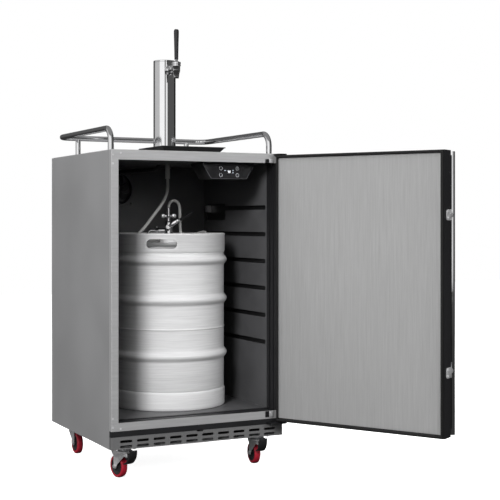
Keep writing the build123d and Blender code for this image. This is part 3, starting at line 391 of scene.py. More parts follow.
def spline_curve(name, points):
    """One open NURBS spline of order 3 that starts and ends at its end points."""
    data = bpy.data.curves.new(name, "CURVE")
    data.dimensions = "3D"
    data.resolution_u = 24
    spline = data.splines.new("NURBS")
    spline.points.add(len(points) - 1)
    for slot, point in zip(spline.points, points):
        slot.co = (*point, 1.0)
    spline.order_u = 3
    spline.use_endpoint_u = True
    curve = bpy.data.objects.new(name, data)
    bpy.context.collection.objects.link(curve)
    return curve


def curve_points(points):
    """Closely spaced points on the smooth curve that follows a route."""
    curve = spline_curve("route_probe", points)
    mesh = bpy.data.meshes.new_from_object(curve)
    path = [vertex.co.copy() for vertex in mesh.vertices]
    bpy.data.objects.remove(curve)
    return path


def frames_along(path):
    """A turning-free frame (tangent, side, up) at each point of a path."""
    tangents = []
    for i in range(len(path)):
        ahead = path[min(i + 1, len(path) - 1)]
        behind = path[max(i - 1, 0)]
        tangents.append((ahead - behind).normalized())
    side = tangents[0].orthogonal().normalized()
    frames = []
    for tangent in tangents:
        side = (side - tangent * side.dot(tangent)).normalized()
        frames.append((tangent, side, tangent.cross(side)))
    return frames


def mesh_object(name, verts, faces, material):
    """A smooth mesh with its faces turned outwards."""
    mesh = bpy.data.meshes.new(name)
    mesh.from_pydata([tuple(v) for v in verts], [], faces)
    mesh.validate()
    work = bmesh.new()
    work.from_mesh(mesh)
    bmesh.ops.recalc_face_normals(work, faces=work.faces)
    work.to_mesh(mesh)
    work.free()
    for polygon in mesh.polygons:
        polygon.use_smooth = True
    mesh.materials.append(material)
    obj = bpy.data.objects.new(name, mesh)
    bpy.context.collection.objects.link(obj)
    return obj


def tube_mesh(path, radius, sides=16, profile=None):
    """Verts and faces of a closed tube; profile gives a radius at each path point."""
    verts, faces = [], []
    for i, (point, (_, side, up)) in enumerate(zip(path, frames_along(path))):
        r = profile[i] if profile else radius
        for k in range(sides):
            angle = TAU * k / sides
            verts.append(point + (side * math.cos(angle) + up * math.sin(angle)) * r)
    for i in range(len(path) - 1):
        for k in range(sides):
            a = i * sides + k
            b = i * sides + (k + 1) % sides
            faces.append((a, b, b + sides, a + sides))
    faces.append(tuple(range(sides)))
    faces.append(tuple(len(verts) - sides + k for k in range(sides)))
    return verts, faces


def path_length(path):
    return sum((b - a).length for a, b in zip(path, path[1:]))


def add_beer_line():
    route = [tuple(v * MM for v in point) for point in ROUTE]
    path = curve_points(route)
    verts, faces = tube_mesh(path, HOSE_RADIUS)
    hose = mesh_object("beer_line_tube", verts, faces, MATERIALS["tube_pale"])
    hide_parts("beer_line")
    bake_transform(hose)


add_beer_line()


# ================================================================ mesh helpers
def unit(axis):
    return Vector(axis).normalized()


def basis(axis):
    """Two directions square to an axis, and the axis itself, as a right-handed set."""
    axis = unit(axis)
    side = axis.orthogonal().normalized() if abs(axis.z) < 0.99 else Vector((1, 0, 0))
    if abs(axis.z) < 0.01:
        side = axis.cross(Vector((0, 0, 1))).normalized()
    return side, axis.cross(side), axis


def lathe_data(profile, origin=(0, 0, 0), axis=(0, 0, 1), segments=48):
    """Verts and faces of a turned solid from (radius, distance along the axis) points in millimetres."""
    side, up, along = basis(axis)
    origin = Vector(origin) * MM
    verts, faces, rings = [], [], []
    for radius, height in profile:
        centre = origin + along * (height * MM)
        if radius < 1e-6:
            rings.append([len(verts)])
            verts.append(centre)
            continue
        ring = []
        for k in range(segments):
            angle = TAU * k / segments
            ring.append(len(verts))
            verts.append(centre + (side * math.cos(angle) + up * math.sin(angle)) * (radius * MM))
        rings.append(ring)
    for low, high in zip(rings, rings[1:]):
        for k in range(segments):
            n = (k + 1) % segments
            if len(low) == 1 and len(high) == 1:
                continue
            if len(low) == 1:
                faces.append((low[0], high[n], high[k]))
            elif len(high) == 1:
                faces.append((low[k], low[n], high[0]))
            else:
                faces.append((low[k], low[n], high[n], high[k]))
    return verts, faces


def closed_lathe_data(profile, origin=(0, 0, 0), axis=(0, 0, 1), segments=48):
    """A turned ring whose profile closes on itself."""
    verts, faces = lathe_data(profile, origin, axis, segments)
    last = (len(profile) - 1) * segments
    for k in range(segments):
        n = (k + 1) % segments
        faces.append((last + k, last + n, n, k))
    return verts, faces


def box_data(low, high):
    """Verts and faces of a box between two corners in millimetres."""
    (x0, y0, z0), (x1, y1, z1) = low, high
    corners = [(x0, y0, z0), (x1, y0, z0), (x1, y1, z0), (x0, y1, z0),
               (x0, y0, z1), (x1, y0, z1), (x1, y1, z1), (x0, y1, z1)]
    faces = [(0, 3, 2, 1), (4, 5, 6, 7), (0, 1, 5, 4), (1, 2, 6, 5), (2, 3, 7, 6), (3, 0, 4, 7)]
    return [Vector(c) * MM for c in corners], faces


def prism_data(outline, depth, origin=(0, 0, 0), right=(1, 0, 0), up=(0, 0, 1)):
    """An outline of (right, up) points in millimetres, extruded by depth along right x up."""
    right, up = unit(right), unit(up)
    along = right.cross(up)
    origin = Vector(origin) * MM
    count = len(outline)
    verts = []
    for shift in (0.0, depth):
        for a, b in outline:
            verts.append(origin + (right * a + up * b + along * shift) * MM)
    faces = [tuple(range(count)), tuple(reversed(range(count, 2 * count)))]
    for k in range(count):
        n = (k + 1) % count
        faces.append((k, k + count, n + count, n))
    return verts, faces


def rod(radius, low, high):
    """Profile of a plain solid cylinder between two distances along its axis."""
    return [(0, low), (radius, low), (radius, high), (0, high)]


def rounded_outline(width, height, radius, steps=6):
    """A rectangle with round corners about its centre, as (a, b) points."""
    points = []
    for cx, cy, start in ((1, 1, 0), (-1, 1, 90), (-1, -1, 180), (1, -1, 270)):
        for k in range(steps + 1):
            angle = math.radians(start + 90 * k / steps)
            points.append((cx * (width / 2 - radius) + radius * math.cos(angle),
                           cy * (height / 2 - radius) + radius * math.sin(angle)))
    return points


def merged(*datas):
    verts, faces = [], []
    for data_verts, data_faces in datas:
        start = len(verts)
        verts.extend(data_verts)
        faces.extend(tuple(i + start for i in face) for face in data_faces)
    return verts, faces


def moved(data, matrix):
    verts, faces = data
    return [matrix @ Vector(v) for v in verts], faces


def add(name, data, slot, body, bevel=0.0, angle=35.0, material=None):
    """A finished piece: its mesh, soft edges, smooth shading by angle, finish slot and body."""
    obj = mesh_object(name, data[0], data[1], material or MATERIALS[slot])
    if bevel > 0:
        modifier = obj.modifiers.new("bevel", "BEVEL")
        modifier.width = bevel * MM
        modifier.segments = 2
        modifier.limit_method = "ANGLE"
        modifier.angle_limit = math.radians(40)
        modifier.use_clamp_overlap = True
        bake(obj)
    shade_by_angle(obj, angle)
    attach(obj, body)
    return obj


def bake(obj):
    """Apply every modifier to the piece's own mesh."""
    graph = bpy.context.evaluated_depsgraph_get()
    graph.update()
    mesh = bpy.data.meshes.new_from_object(obj.evaluated_get(graph))
    old = obj.data
    obj.modifiers.clear()
    obj.data = mesh
    mesh.name = obj.name
    bpy.data.meshes.remove(old)


def shade_by_angle(obj, degrees):
    limit = math.radians(degrees)
    work = bmesh.new()
    work.from_mesh(obj.data)
    for edge in work.edges:
        if len(edge.link_faces) == 2:
            edge.smooth = edge.calc_face_angle(0.0) < limit
    for face in work.faces:
        face.smooth = True
    work.to_mesh(obj.data)
    work.free()


def cut(obj, datas):
    """Take closed shapes away from a piece."""
    for data in datas:
        tool = mesh_object("cutting_tool", data[0], data[1], obj.data.materials[0])
        modifier = obj.modifiers.new("cut", "BOOLEAN")
        modifier.operation = "DIFFERENCE"
        modifier.solver = "EXACT"
        modifier.object = tool
        bake(obj)
        bpy.data.objects.remove(tool)


def round_path(points, radius, steps=8):
    """A bent tube's centre line in millimetres: straight runs joined by round bends."""
    points = [Vector(p) for p in points]
    path = [points[0]]
    for before, corner, after in zip(points, points[1:], points[2:]):
        into, out = (corner - before).normalized(), (after - corner).normalized()
        turn = into.angle(out)
        reach = radius * math.tan(turn / 2)
        start, normal = corner - into * reach, (out - into).normalized()
        centre = corner + normal * (radius / math.cos(turn / 2))
        arm = start - centre
        axis = into.cross(out).normalized()
        for k in range(steps + 1):
            path.append(centre + Matrix.Rotation(turn * k / steps, 3, axis) @ arm)
    path.append(points[-1])
    return [p * MM for p in path]


# ================================================================ driving sizes from the frame
def span(node):
    """A node's low and high corners at rest, in millimetres."""
    low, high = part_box(node)
    return [v / MM for v in low], [v / MM for v in high]


CABINET_TOP = span("outer_wrap")[1][2]
FRONT_Y = span("front_frame")[0][1]
HINGE = next(j for j in frame["joints"] if j["name"] == "door_hinge")
HINGE_X, HINGE_Y = HINGE["pos_m"][0] / MM, HINGE["pos_m"][1] / MM
DOOR_ANGLE = math.radians(120.0)


def door_turn():
    """The turn that takes a shut door to its open rest pose."""
    there = Matrix.Translation((HINGE_X * MM, HINGE_Y * MM, 0))
    return there @ Matrix.Rotation(DOOR_ANGLE, 4, "Z") @ there.inverted()


# ================================================================ tower, tap, tray and rail
def add_tower():
    low, high = span("draft_tower")
    x, y = (low[0] + high[0]) / 2, (low[1] + high[1]) / 2
    r = (high[0] - low[0]) / 2 - 2.0
    z0, z1 = low[2], high[2]
    ring = [(r - 3, z0), (r + 2, z0), (r + 2, z0 + 1.6), (r + 1.2, z0 + 3), (r - 3, z0 + 3)]
    column = [(r - 3, z0 + 3.02), (r, z0 + 3.02), (r, z0 + 160), (r, z1 - 6.3), (r - 0.5, z1 - 6.0),
              (r - 3, z1 - 6.0)]
    cap = [(r - 3, z1 - 5.7), (r - 0.4, z1 - 5.7), (r, z1 - 5.3), (r, z1 - 1.8), (r - 0.5, z1 - 0.6),
           (r - 1.8, z1 - 0.1), (r - 4, z1), (0, z1)]
    data = merged(closed_lathe_data(ring, (x, y, 0), segments=96),
                  closed_lathe_data(column, (x, y, 0), segments=96),
                  lathe_data([(0, z1 - 5.7)] + cap, (x, y, 0), segments=96))
    tower = add("draft_tower_column", data, "chrome", "cabinet", angle=30)
    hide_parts("draft_tower")


TAP_Y = -114.0
TAP_Z = 1344.0
TAP_PIVOT_Z = 1362.0


def add_tap():
    forward = (0, -1, 0)
    shank = closed_lathe_data([(8.7, -34), (9.6, -34), (10, -33), (10, 53.5), (8.7, 53.5)], (0, -45, TAP_Z),
                              forward, 48)
    collar = lathe_data([(0, 0.4), (16.2, 0.4), (17, 1.6), (17, 8), (15.8, 10.5), (13.6, 14), (12.2, 15.2),
                         (0, 15.2)], (0, -48.6, TAP_Z), forward, 64)
    nut_profile = [(8.5, 0), (14.4, 0), (15.5, 1.2), (15.5, 4.2), (14.9, 5), (15.5, 5.8), (15.5, 12),
                   (14.6, 14.6), (12.4, 17.4), (8.5, 17.4)]
    nut = closed_lathe_data(nut_profile, (0, -80.3, TAP_Z), forward, 64)
    barrel = closed_lathe_data([(8.6, 0), (12, 0), (12, 16), (11.4, 19.5), (8.6, 19.5)], (0, -96, TAP_Z),
                               forward, 64)
    outside = [(6.0, 1331), (6.0, 1311), (8.4, 1311), (8.7, 1311.8), (8.9, 1315), (9.6, 1321), (10.7, 1328),
               (12.2, 1333.5), (13, 1338), (13, 1350.5), (13.4, 1351.4), (15, 1352.2), (15, 1356),
               (14.2, 1356.8), (14.2, 1358.4), (15, 1359.2), (15, 1364.6), (14.2, 1366), (10.4, 1366),
               (10.35, 1358), (0, 1351.9)]
    upright = lathe_data(outside, (0, TAP_Y, 0), segments=64)
    tap = add("tap_body", upright, "chrome", "cabinet", angle=32)
    cut(tap, [lathe_data(rod(3.35, 0, 16), (0, TAP_Y - 1, TAP_PIVOT_Z - 13), (0, 1, 0), 32)])
    shade_by_angle(tap, 32)
    add("tap_shank", merged(shank, collar, nut, barrel), "chrome", "cabinet", angle=32)
    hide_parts("faucet")

    ball = [(0, -10)]
    for degrees in range(-80, 61, 10):
        ball.append((10 * math.cos(math.radians(degrees)), 10 * math.sin(math.radians(degrees))))
    stalk = ball + [(5.0, 9.0), (4.9, 11), (5.6, 12), (6.9, 12.6), (6.9, 12.95), (0, 12.95)]
    lever = lathe_data(stalk, (0, TAP_Y, TAP_PIVOT_Z), segments=48)
    pin = lathe_data([(0, -16), (2.2, -15.4), (3, -13.6), (3, -8), (0, -8)], (0, TAP_Y, TAP_PIVOT_Z),
                     segments=24)
    lever_obj = add("tap_lever_ball", merged(lever, pin), "chrome", "tap_lever", angle=40)
    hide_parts("faucet_lever")

    low, high = span("tap_handle")
    height = high[2] - low[2]
    outline = [(0, 0), (6.1, 0), (6.6, 0.6), (6.7, 3.2), (6.2, 3.8), (6.2, 5.2), (6.8, 5.9)]
    for step in range(1, 13):
        t = step / 12
        outline.append((6.8 + 1.8 * t ** 1.4, 5.9 + (height * 0.86 - 5.9) * t))
    outline += [(8.55, height - 8), (8.2, height - 4.5), (7.2, height - 1.8), (5.2, height - 0.4),
                (3, height), (0, height)]
    handle = add("tap_handle_grip", lathe_data(outline, (0, TAP_Y, low[2]), segments=48), "gloss_black",
                 "tap_lever", angle=40)
    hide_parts("tap_handle")


def loft(rings):
    """Verts and faces of a skin through rings of equal count, closed round and capped at both ends."""
    count = len(rings[0])
    verts = [Vector(p) * MM for ring in rings for p in ring]
    faces = []
    for level in range(len(rings) - 1):
        for k in range(count):
            a, b = level * count + k, level * count + (k + 1) % count
            faces.append((a, b, b + count, a + count))
    faces.append(tuple(range(count)))
    faces.append(tuple((len(rings) - 1) * count + k for k in range(count)))
    return verts, faces


def add_drip_tray():
    low, high = span("drip_tray")
    cx, cy = (low[0] + high[0]) / 2, (low[1] + high[1]) / 2
    width, depth = high[0] - low[0], high[1] - low[1]
    z0, z1 = low[2], high[2]
    levels = [(-16, z0, 5), (-15.6, z0 + 0.6, 5), (-3.6, z1 - 3.6, 5), (-2.2, z1 - 2.9, 5),
              (-0.4, z1 - 2.8, 5), (0, z1 - 2.0, 5), (0, z1 - 1.0, 5), (-0.8, z1 - 0.1, 4.6),
              (-2.0, z1, 4.2), (-3.4, z1 - 0.3, 3.6), (-5.0, z1 - 2.0, 3), (-16.0, z0 + 3.4, 3),
              (-17.5, z0 + 1.9, 3)]
    rings = []
    for grow, z, corner in levels:
        outline = rounded_outline(width + 2 * grow, depth + 2 * grow, corner, 6)
        rings.append([(cx + a, cy + b, z) for a, b in outline])
    tray = add("drip_tray_pan", loft(rings), "black_plastic", "drip_tray", angle=50)
    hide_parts("drip_tray")


def add_rail():
    x, front, back = 285.0, -247.5, 282.3
    z, base, r = 1124.0, CABINET_TOP, 9.75
    points = [(-x, front, base), (-x, front, z), (-x, back, z), (x, back, z), (x, front, z),
              (x, front, base)]
    path = round_path(points, 43.0, 12)
    rail = tube_mesh(path, r * MM, 32)
    posts = [lathe_data(rod(9, 0, z - base - 4), (px, back, base), segments=32)
             for px in (-215.0, 212.0)]
    obj = add("guard_rail_tube", merged(rail, *posts), "chrome", "cabinet", angle=40)
    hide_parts("guard_rail")


# ================================================================ keg
KEG_X, KEG_Y = 16.5, -7.7
KEG_BOTTOM = span("keg_chimes")[0][2]
KEG_RADIUS = 192.5
CHIME_RADIUS = 195.5


def arc_profile(a, b, bulge, steps):
    """Points of a bulge between two (radius, height) points on one wall."""
    points = []
    for k in range(1, steps):
        t = k / steps
        lift = math.sin(math.pi * t)
        points.append((a[0] + (b[0] - a[0]) * t + bulge * lift, a[1] + (b[1] - a[1]) * t))
    return points


def keg_profile():
    r = KEG_RADIUS
    points = [(0, 36), (60, 38), (130, 44), (176, 53), (r - 6, 58.6), (r - 1.6, 62), (r, 67)]
    for low, high, bulge in ((163, 196, 10.0), (267, 273, 1.5), (350, 384, 10.0), (485, 517, 10.0)):
        points.append((r, low - 5))
        points.append((r + 0.25, low - 1))
        points += arc_profile((r, low), (r, high), bulge, 14)
        points.append((r + 0.25, high + 1))
        points.append((r, high + 5))
    points += [(r, 524), (r - 1.2, 530), (r - 5, 535.5), (r - 14, 539), (150, 547), (110, 552), (60, 557),
               (30, 560), (29, 566), (29.3, 570), (29.3, 577), (28.4, 578), (19.4, 578), (19, 577),
               (19, 563), (10.6, 563), (10.6, 551), (0, 551)]
    return points


def add_keg():
    origin = (KEG_X, KEG_Y, KEG_BOTTOM)
    shell = lathe_data(keg_profile(), origin, segments=160)
    vessel = add("keg_vessel_shell", shell, "keg_steel", "keg", angle=40)
    upper = [(-2.9, 526), (-1.4, 529), (0, 533), (0, 584), (1.3, 587), (1.3, 589.6), (0, 591.6), (-3, 592),
             (-5.4, 591), (-6.4, 588), (-6.1, 584.5), (-3.8, 583), (-3, 581), (-3, 541), (-4.8, 534)]
    lower = [(-5.6, 61.5), (-2.6, 61.6), (-0.8, 58), (0, 54), (0, 10), (-0.6, 4), (-2.4, 0.8), (-5.2, 0),
             (-8.4, 1.2), (-9.6, 4), (-8, 7), (-4.4, 10), (-3, 14), (-3, 52), (-4.4, 57)]
    upper = [(CHIME_RADIUS + a, z) for a, z in upper]
    lower = [(CHIME_RADIUS + a, z) for a, z in lower]
    ring = add("keg_top_chime", closed_lathe_data(upper, origin, segments=160), "keg_steel", "keg",
               angle=40)
    slots = []
    for azimuth in (240.0, 60.0):
        outline = rounded_outline(103, 33, 16.4, 8)
        direction = Vector((math.cos(math.radians(azimuth)), math.sin(math.radians(azimuth)), 0))
        right = direction.cross(Vector((0, 0, 1)))
        start = Vector((KEG_X, KEG_Y, KEG_BOTTOM + 556.5)) + direction * 240
        slots.append(prism_data(outline, 100, tuple(start), tuple(right), (0, 0, 1)))
    cut(ring, slots)
    shade_by_angle(ring, 40)
    add("keg_bottom_chime", closed_lathe_data(lower, origin, segments=160), "keg_steel", "keg", angle=40)
    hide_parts("keg_shell")
    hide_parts("keg_chimes")


# ================================================================ coupler
LEVER_HEADING = math.radians(-26.95)
LEVER_RISE = math.radians(31.5)
LEVER_PIVOT_Z = 805.4
NUT_BOTTOM = 836.3
NUT_TOP = 850.0
GAS_Z = 793.0
VALVE_X = -41.0
VALVE_SEAT = 799.5


def coupler_turn():
    return Matrix.Translation((KEG_X * MM, KEG_Y * MM, 0)) @ Matrix.Rotation(LEVER_HEADING, 4, "Z")


def lever_turn():
    raised = Matrix.Translation((0, 0, LEVER_PIVOT_Z * MM)) @ Matrix.Rotation(-LEVER_RISE, 4, "Y")
    return coupler_turn() @ raised


def add_coupler():
    base = KEG_BOTTOM + 578.4
    body = [(8.1, base), (26, base), (27, base + 1), (27, base + 5.4), (25.4, base + 7.6), (21, base + 8.4),
            (17, base + 9.2), (15.4, base + 12), (15, base + 16), (15, 818), (14, 821), (10, 823), (7, 825),
            (7, 836), (0, 836), (0, 812), (8.1, 812)]
    lugs = []
    for side in (-1, 1):
        lug = [(0, 11), (7.5, 11), (7.5, 17.7), (6.8, 18.5), (4, 18.5), (4, 22.4), (3.4, 23), (0, 23)]
        lugs.append(lathe_data(lug, (0, 0, LEVER_PIVOT_Z), (0, side, 0), 32))
    port = lathe_data(rod(7, 13, 34.4), (0, 0, GAS_Z), (-1, 0, 0), 32)
    hex_nut = [(0, 34), (9.2, 34), (10, 34.8), (10, 45.2), (9.2, 46), (0, 46)]
    hex_data = lathe_data(hex_nut, (0, 0, GAS_Z), (-1, 0, 0), 6)
    tail_path = round_path([(-45, 0, GAS_Z), (-68, 0, GAS_Z), (-76, 0, GAS_Z - 23.6)], 11, 8)
    barb = [(4.4 + (0.2 if i % 3 == 0 else 0.0)) * MM for i in range(len(tail_path))]
    tail = tube_mesh(tail_path, 0.0046, 20, barb)
    data = moved(merged(closed_lathe_data(body, segments=64), *lugs, port, tail), coupler_turn())
    obj = add("coupler_casting", data, "chrome", "keg", angle=38)
    gas_nut = add("coupler_gas_nut", moved(hex_data, coupler_turn()), "chrome", "keg", angle=38)
    recess = lathe_data(rod(4.6, VALVE_SEAT, GAS_Z + 14), (VALVE_X, 0, 0),
                        segments=24)
    cut(gas_nut, [moved(recess, coupler_turn())])
    shade_by_angle(gas_nut, 38)
    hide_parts("coupler_body")

    middle = NUT_BOTTOM + (NUT_TOP - NUT_BOTTOM) / 2
    half = (NUT_TOP - NUT_BOTTOM) / 2
    core = lathe_data([(0, NUT_BOTTOM), (6.8, NUT_BOTTOM), (7.4, NUT_BOTTOM + 1), (7.4, NUT_TOP - 1),
                       (6.8, NUT_TOP), (0, NUT_TOP)], segments=40)
    web = box_data((-19, -1.6, NUT_BOTTOM + 2), (19, 1.6, NUT_TOP - 4))
    lobes = []
    for x in (-19, 19):
        outline = [(x + a, middle + b) for a, b in rounded_outline(14, 2 * half, 4, 5)]
        lobes.append(prism_data(outline, 9.0, (0, 4.5, 0)))
    nut_data = moved(merged(core, web, *lobes), coupler_turn())
    nut = add("coupler_wing_nut", nut_data, "chrome", "keg", bevel=0.7, angle=40)
    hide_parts("coupler_nut")
    rib = [(0, NUT_TOP - 1), (5.4, NUT_TOP - 1)]
    for index in range(4):
        z = NUT_TOP + 1.5 + 5.0 * index
        rib += [(5.4, z), (6.2, z + 0.5), (6.2, z + 2.7), (5.4, z + 3.2)]
    rib += [(5.4, 871.8), (0, 871.8)]
    add("coupler_barb", moved(lathe_data(rib, segments=36), coupler_turn()), "chrome", "keg", angle=30)

    low = VALVE_SEAT
    knob = [(0, low + 0.3), (1.6, low + 0.3), (1.6, low + 2.3), (3.0, low + 3.1), (3.4, low + 4.4),
            (3.4, low + 6.4), (2.7, low + 7.9), (0, low + 8.6)]
    valve = add("relief_valve_knob", moved(lathe_data(knob, (VALVE_X, 0, 0), segments=28), coupler_turn()),
                "chrome", "relief_valve", angle=40)
    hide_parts("relief_valve")

    fork = []
    for side in (-1, 1):
        plate = [(5, -5.5), (32, -5.5), (36, -4.6), (36, 4.6), (32, 5.5), (5, 5.5)]
        fork.append(prism_data(plate, 3.5, (0, 22.4 if side > 0 else -18.9, 0)))
        eye = [(4.1, 18.9), (7.6, 18.9), (8, 19.3), (8, 22.0), (7.6, 22.4), (4.1, 22.4)]
        fork.append(closed_lathe_data(eye, (0, 0, 0), (0, side, 0), 40))
    bridge = box_data((34, -22.4, -5), (42, 22.4, 5))
    socket = lathe_data([(0, 41), (5.4, 41), (6, 41.8), (6, 45.4), (5.2, 47), (0, 47)], axis=(1, 0, 0),
                        segments=32)
    yoke = add("coupler_yoke", moved(merged(*fork, bridge, socket), lever_turn()), "chrome",
               "coupler_lever", bevel=0.5)
    grip = [(0, 46.5), (3.9, 46.5), (4.3, 48), (4.5, 53), (4.6, 72), (4.6, 89), (4.3, 93.4), (3.2, 96),
            (1.6, 96.9), (0, 97)]
    add("coupler_lever_grip", moved(lathe_data(grip, axis=(1, 0, 0), segments=32), lever_turn()),
        "black_metal", "coupler_lever", angle=40)
    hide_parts("coupler_lever")


# ================================================================ casters
WHEEL_RADIUS = 37.5
WHEEL_WIDTH = 22.0
TRAIL = 35.0
KINGPIN_X, KINGPIN_Y = 239.5, 253.5
CASTERS = {"front_left": (-KINGPIN_X, -KINGPIN_Y, 13.0, 1, True),
           "front_right": (KINGPIN_X, -KINGPIN_Y, -4.5, 1, True),
           "rear_left": (-KINGPIN_X, KINGPIN_Y, 0.0, -1, False),
           "rear_right": (KINGPIN_X, KINGPIN_Y, 0.0, -1, False)}
PEDAL_PIVOT = (0.0, -27.0, 79.5)
EAR_REACH = 76.0


def add_wheel(place, axle, turn):
    half = WHEEL_WIDTH / 2
    r = WHEEL_RADIUS
    edge = [(28.0, half - 1.2), (31, half - 0.3), (34, half - 0.6), (36.2, half - 2.2), (r - 0.3, half - 5),
            (r, 3)]
    tread = [(a, -b) for a, b in edge] + [(a, b) for a, b in reversed(edge)]
    tyre = add(f"tyre_{place}", moved(closed_lathe_data(tread, axle, (1, 0, 0), 96), turn), "caster_wheel",
               f"wheel_{place}", angle=50)
    face = [(4.1, half + 1.7), (7.2, half + 1.7), (8, half + 0.8), (8, half - 3.4), (12, half - 4.2),
            (22, half - 3.8), (24.4, half - 2.2), (26.4, half - 0.6), (28.2, half - 1.1)]
    rim = [(a, -b) for a, b in face] + [(a, b) for a, b in reversed(face)]
    parts = [closed_lathe_data(rim, axle, (1, 0, 0), 72)]
    stud = [(0, half - 5), (2.2, half - 5), (2.2, half - 2.9), (1.6, half - 2.3), (0, half - 2.3)]
    for side in (-1, 1):
        for k in range(6):
            angle = TAU * k / 6
            centre = (0, axle[1] + 15.0 * math.cos(angle), axle[2] + 15.0 * math.sin(angle))
            parts.append(lathe_data(stud, centre, (side, 0, 0), 16))
    add(f"hub_{place}", moved(merged(*parts), turn), "black_plastic", f"wheel_{place}", angle=35)
    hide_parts(f"caster_wheel_{place}")


def add_fork(place, axle, turn, s):
    side_in = WHEEL_WIDTH / 2 + 2.2
    side_out = side_in + 2.4
    outline = [(-16, 76), (-16, 88.4), (40, 88.4), (52, 88.4), (53.6, 86.4), (53.8, 83.6), (50, 76),
               (43.4, 72), (42, 50), (40.6, 35), (38.4, 30.4), (35, 29), (31.4, 30.4), (27, 37), (23, 44)]
    plates = []
    for side in (-1, 1):
        start = side_in if side > 0 else -side_out
        plates.append(prism_data([(a * s, b) for a, b in outline], 2.4, (start, 0, 0), (0, 1, 0),
                                 (0, 0, 1)))
    crown = closed_lathe_data([(5.1, 85), (24.2, 85), (25, 86), (25, 90), (23.6, 91.6), (5.1, 91.8)],
                              segments=64)
    bolt = lathe_data([(0, -side_out - 4.4), (3, -side_out - 4.4), (3.9, -side_out - 4),
                       (3.9, side_out + 4), (3, side_out + 4.4), (0, side_out + 4.4)], axle, (1, 0, 0), 24)
    head = [(0, side_out + 0.05), (6.4, side_out + 0.05), (6.4, side_out + 3.6), (5.6, side_out + 4.4),
            (0, side_out + 4.4)]
    heads = [lathe_data(head, axle, (side, 0, 0), 6) for side in (-1, 1)]
    plates.append(box_data((-14, min(50 * s, EAR_REACH * s), 84.4), (14, max(50 * s, EAR_REACH * s), 88.4)))
    tab = [(60, 84.4), (60, 74), (62, 72), (66, 72), (68, 74), (68, 84.4)]
    plates.append(prism_data([(a * s, b) for a, b in tab], 3.2, (-1.6, 0, 0), (0, 1, 0), (0, 0, 1)))
    fork = add(f"fork_{place}", moved(merged(*plates), turn), "zinc", f"caster_{place}", angle=38)
    hole = lathe_data(rod(2.2, -40, 40), (0, 47 * s, 81.5), (1, 0, 0), 20)
    cut(fork, [moved(hole, turn)])
    shade_by_angle(fork, 38)
    add(f"fork_crown_{place}", moved(merged(crown, bolt, *heads), turn), "zinc", f"caster_{place}",
        angle=38)
    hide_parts(f"caster_fork_{place}")


def add_brake(place, turn):
    """Curved foot plate, its web, and the lugs that hold its pin."""
    pivot_y = PEDAL_PIVOT[1]
    lugs = [box_data((side * 12.9 - 1.4, pivot_y - 5, 75), (side * 12.9 + 1.4, -10, 86))
            for side in (-1, 1)]
    pin = lathe_data(rod(2.4, -14.2, 14.2), PEDAL_PIVOT, (1, 0, 0), 20)
    add(f"brake_lugs_{place}", moved(merged(*lugs, pin), turn), "zinc", f"caster_{place}", bevel=0.4)
    front = [(-50, 97.6), (-49.8, 90), (-48.6, 83), (-46, 75), (-42, 68), (-36, 61), (-29, 55), (-20.6, 51),
             (-12, 48.6)]
    back = [(-10.2, 50), (-10.4, 52), (-19, 54.6), (-26, 58.5), (-33, 64.2), (-38.5, 70.5), (-42.6, 78),
            (-45.4, 85.5), (-46.5, 97.6)]
    plate = prism_data(front + back, 28, (-14, 0, 0), (0, 1, 0), (0, 0, 1))
    web = prism_data([(-30, 83), (-23, 77), (-24, 58), (-38, 69), (-44, 81)], 21, (-10.5, 0, 0), (0, 1, 0),
                     (0, 0, 1))
    barrel = lathe_data(rod(5, -10.5, 10.5), PEDAL_PIVOT, (1, 0, 0), 28)
    pedal = add(f"brake_pedal_{place}_shoe", moved(merged(plate, web, barrel), turn), "black_plastic",
                f"brake_{place}", bevel=0.7)
    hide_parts(f"brake_pedal_{place}")


def add_caster(place, x, y, swivel, trail_sign, braked):
    """Built at the origin with the wheel trailing along Y, then turned to its swivel angle."""
    turn = Matrix.Translation((x * MM, y * MM, 0)) @ Matrix.Rotation(math.radians(swivel), 4, "Z")
    axle = (0, trail_sign * TRAIL, WHEEL_RADIUS)
    add_wheel(place, axle, turn)
    add_fork(place, axle, turn, trail_sign)
    if braked:
        add_brake(place, turn)


def add_caster_mounts():
    datas = []
    plate = rounded_outline(64, 54, 6, 5)
    race = [(0.1, 92.6), (18.6, 92.6), (20, 94), (20, 98), (18, 100), (17, 101.6), (0.1, 101.6)]
    pin = [(0, 80.8), (7.4, 80.8), (8.4, 82), (8.4, 84.2), (5, 84.2), (5, 93), (0, 93)]
    bolt = [(0, 97.9), (4.8, 97.9), (5.4, 98.7), (5.4, 101.5), (0, 101.5)]
    for x, y, *_ in CASTERS.values():
        datas.append(prism_data([(x + a, y + b) for a, b in plate], 3.5, (0, 0, 101.45), (1, 0, 0),
                                (0, 1, 0)))
        datas.append(closed_lathe_data(race, (x, y, 0), segments=48))
        datas.append(lathe_data(pin, (x, y, 0), segments=32))
        for dx in (-25, 25):
            for dy in (-20, 20):
                datas.append(lathe_data(bolt, (x + dx, y + dy, 0), segments=6))
    obj = add("caster_plates", merged(*datas), "zinc", "cabinet", angle=35)
    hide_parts("caster_mounts")


# ================================================================ door
DOOR = {"left": -301.5, "right": 302.0, "bottom": 156.0, "top": 1046.0, "inner": -319.5, "outer": -367.5}
PANEL = {"left": -290.5, "right": 297.5, "bottom": 168.0, "top": 1036.0}
HANDLE_X, HANDLE_Y = -285.5, -412.5
HANDLE_POST = 36.0
BRACKET_HEIGHTS = (357.0, 845.0)
BRACKET_SCREWS = (-9, 9)


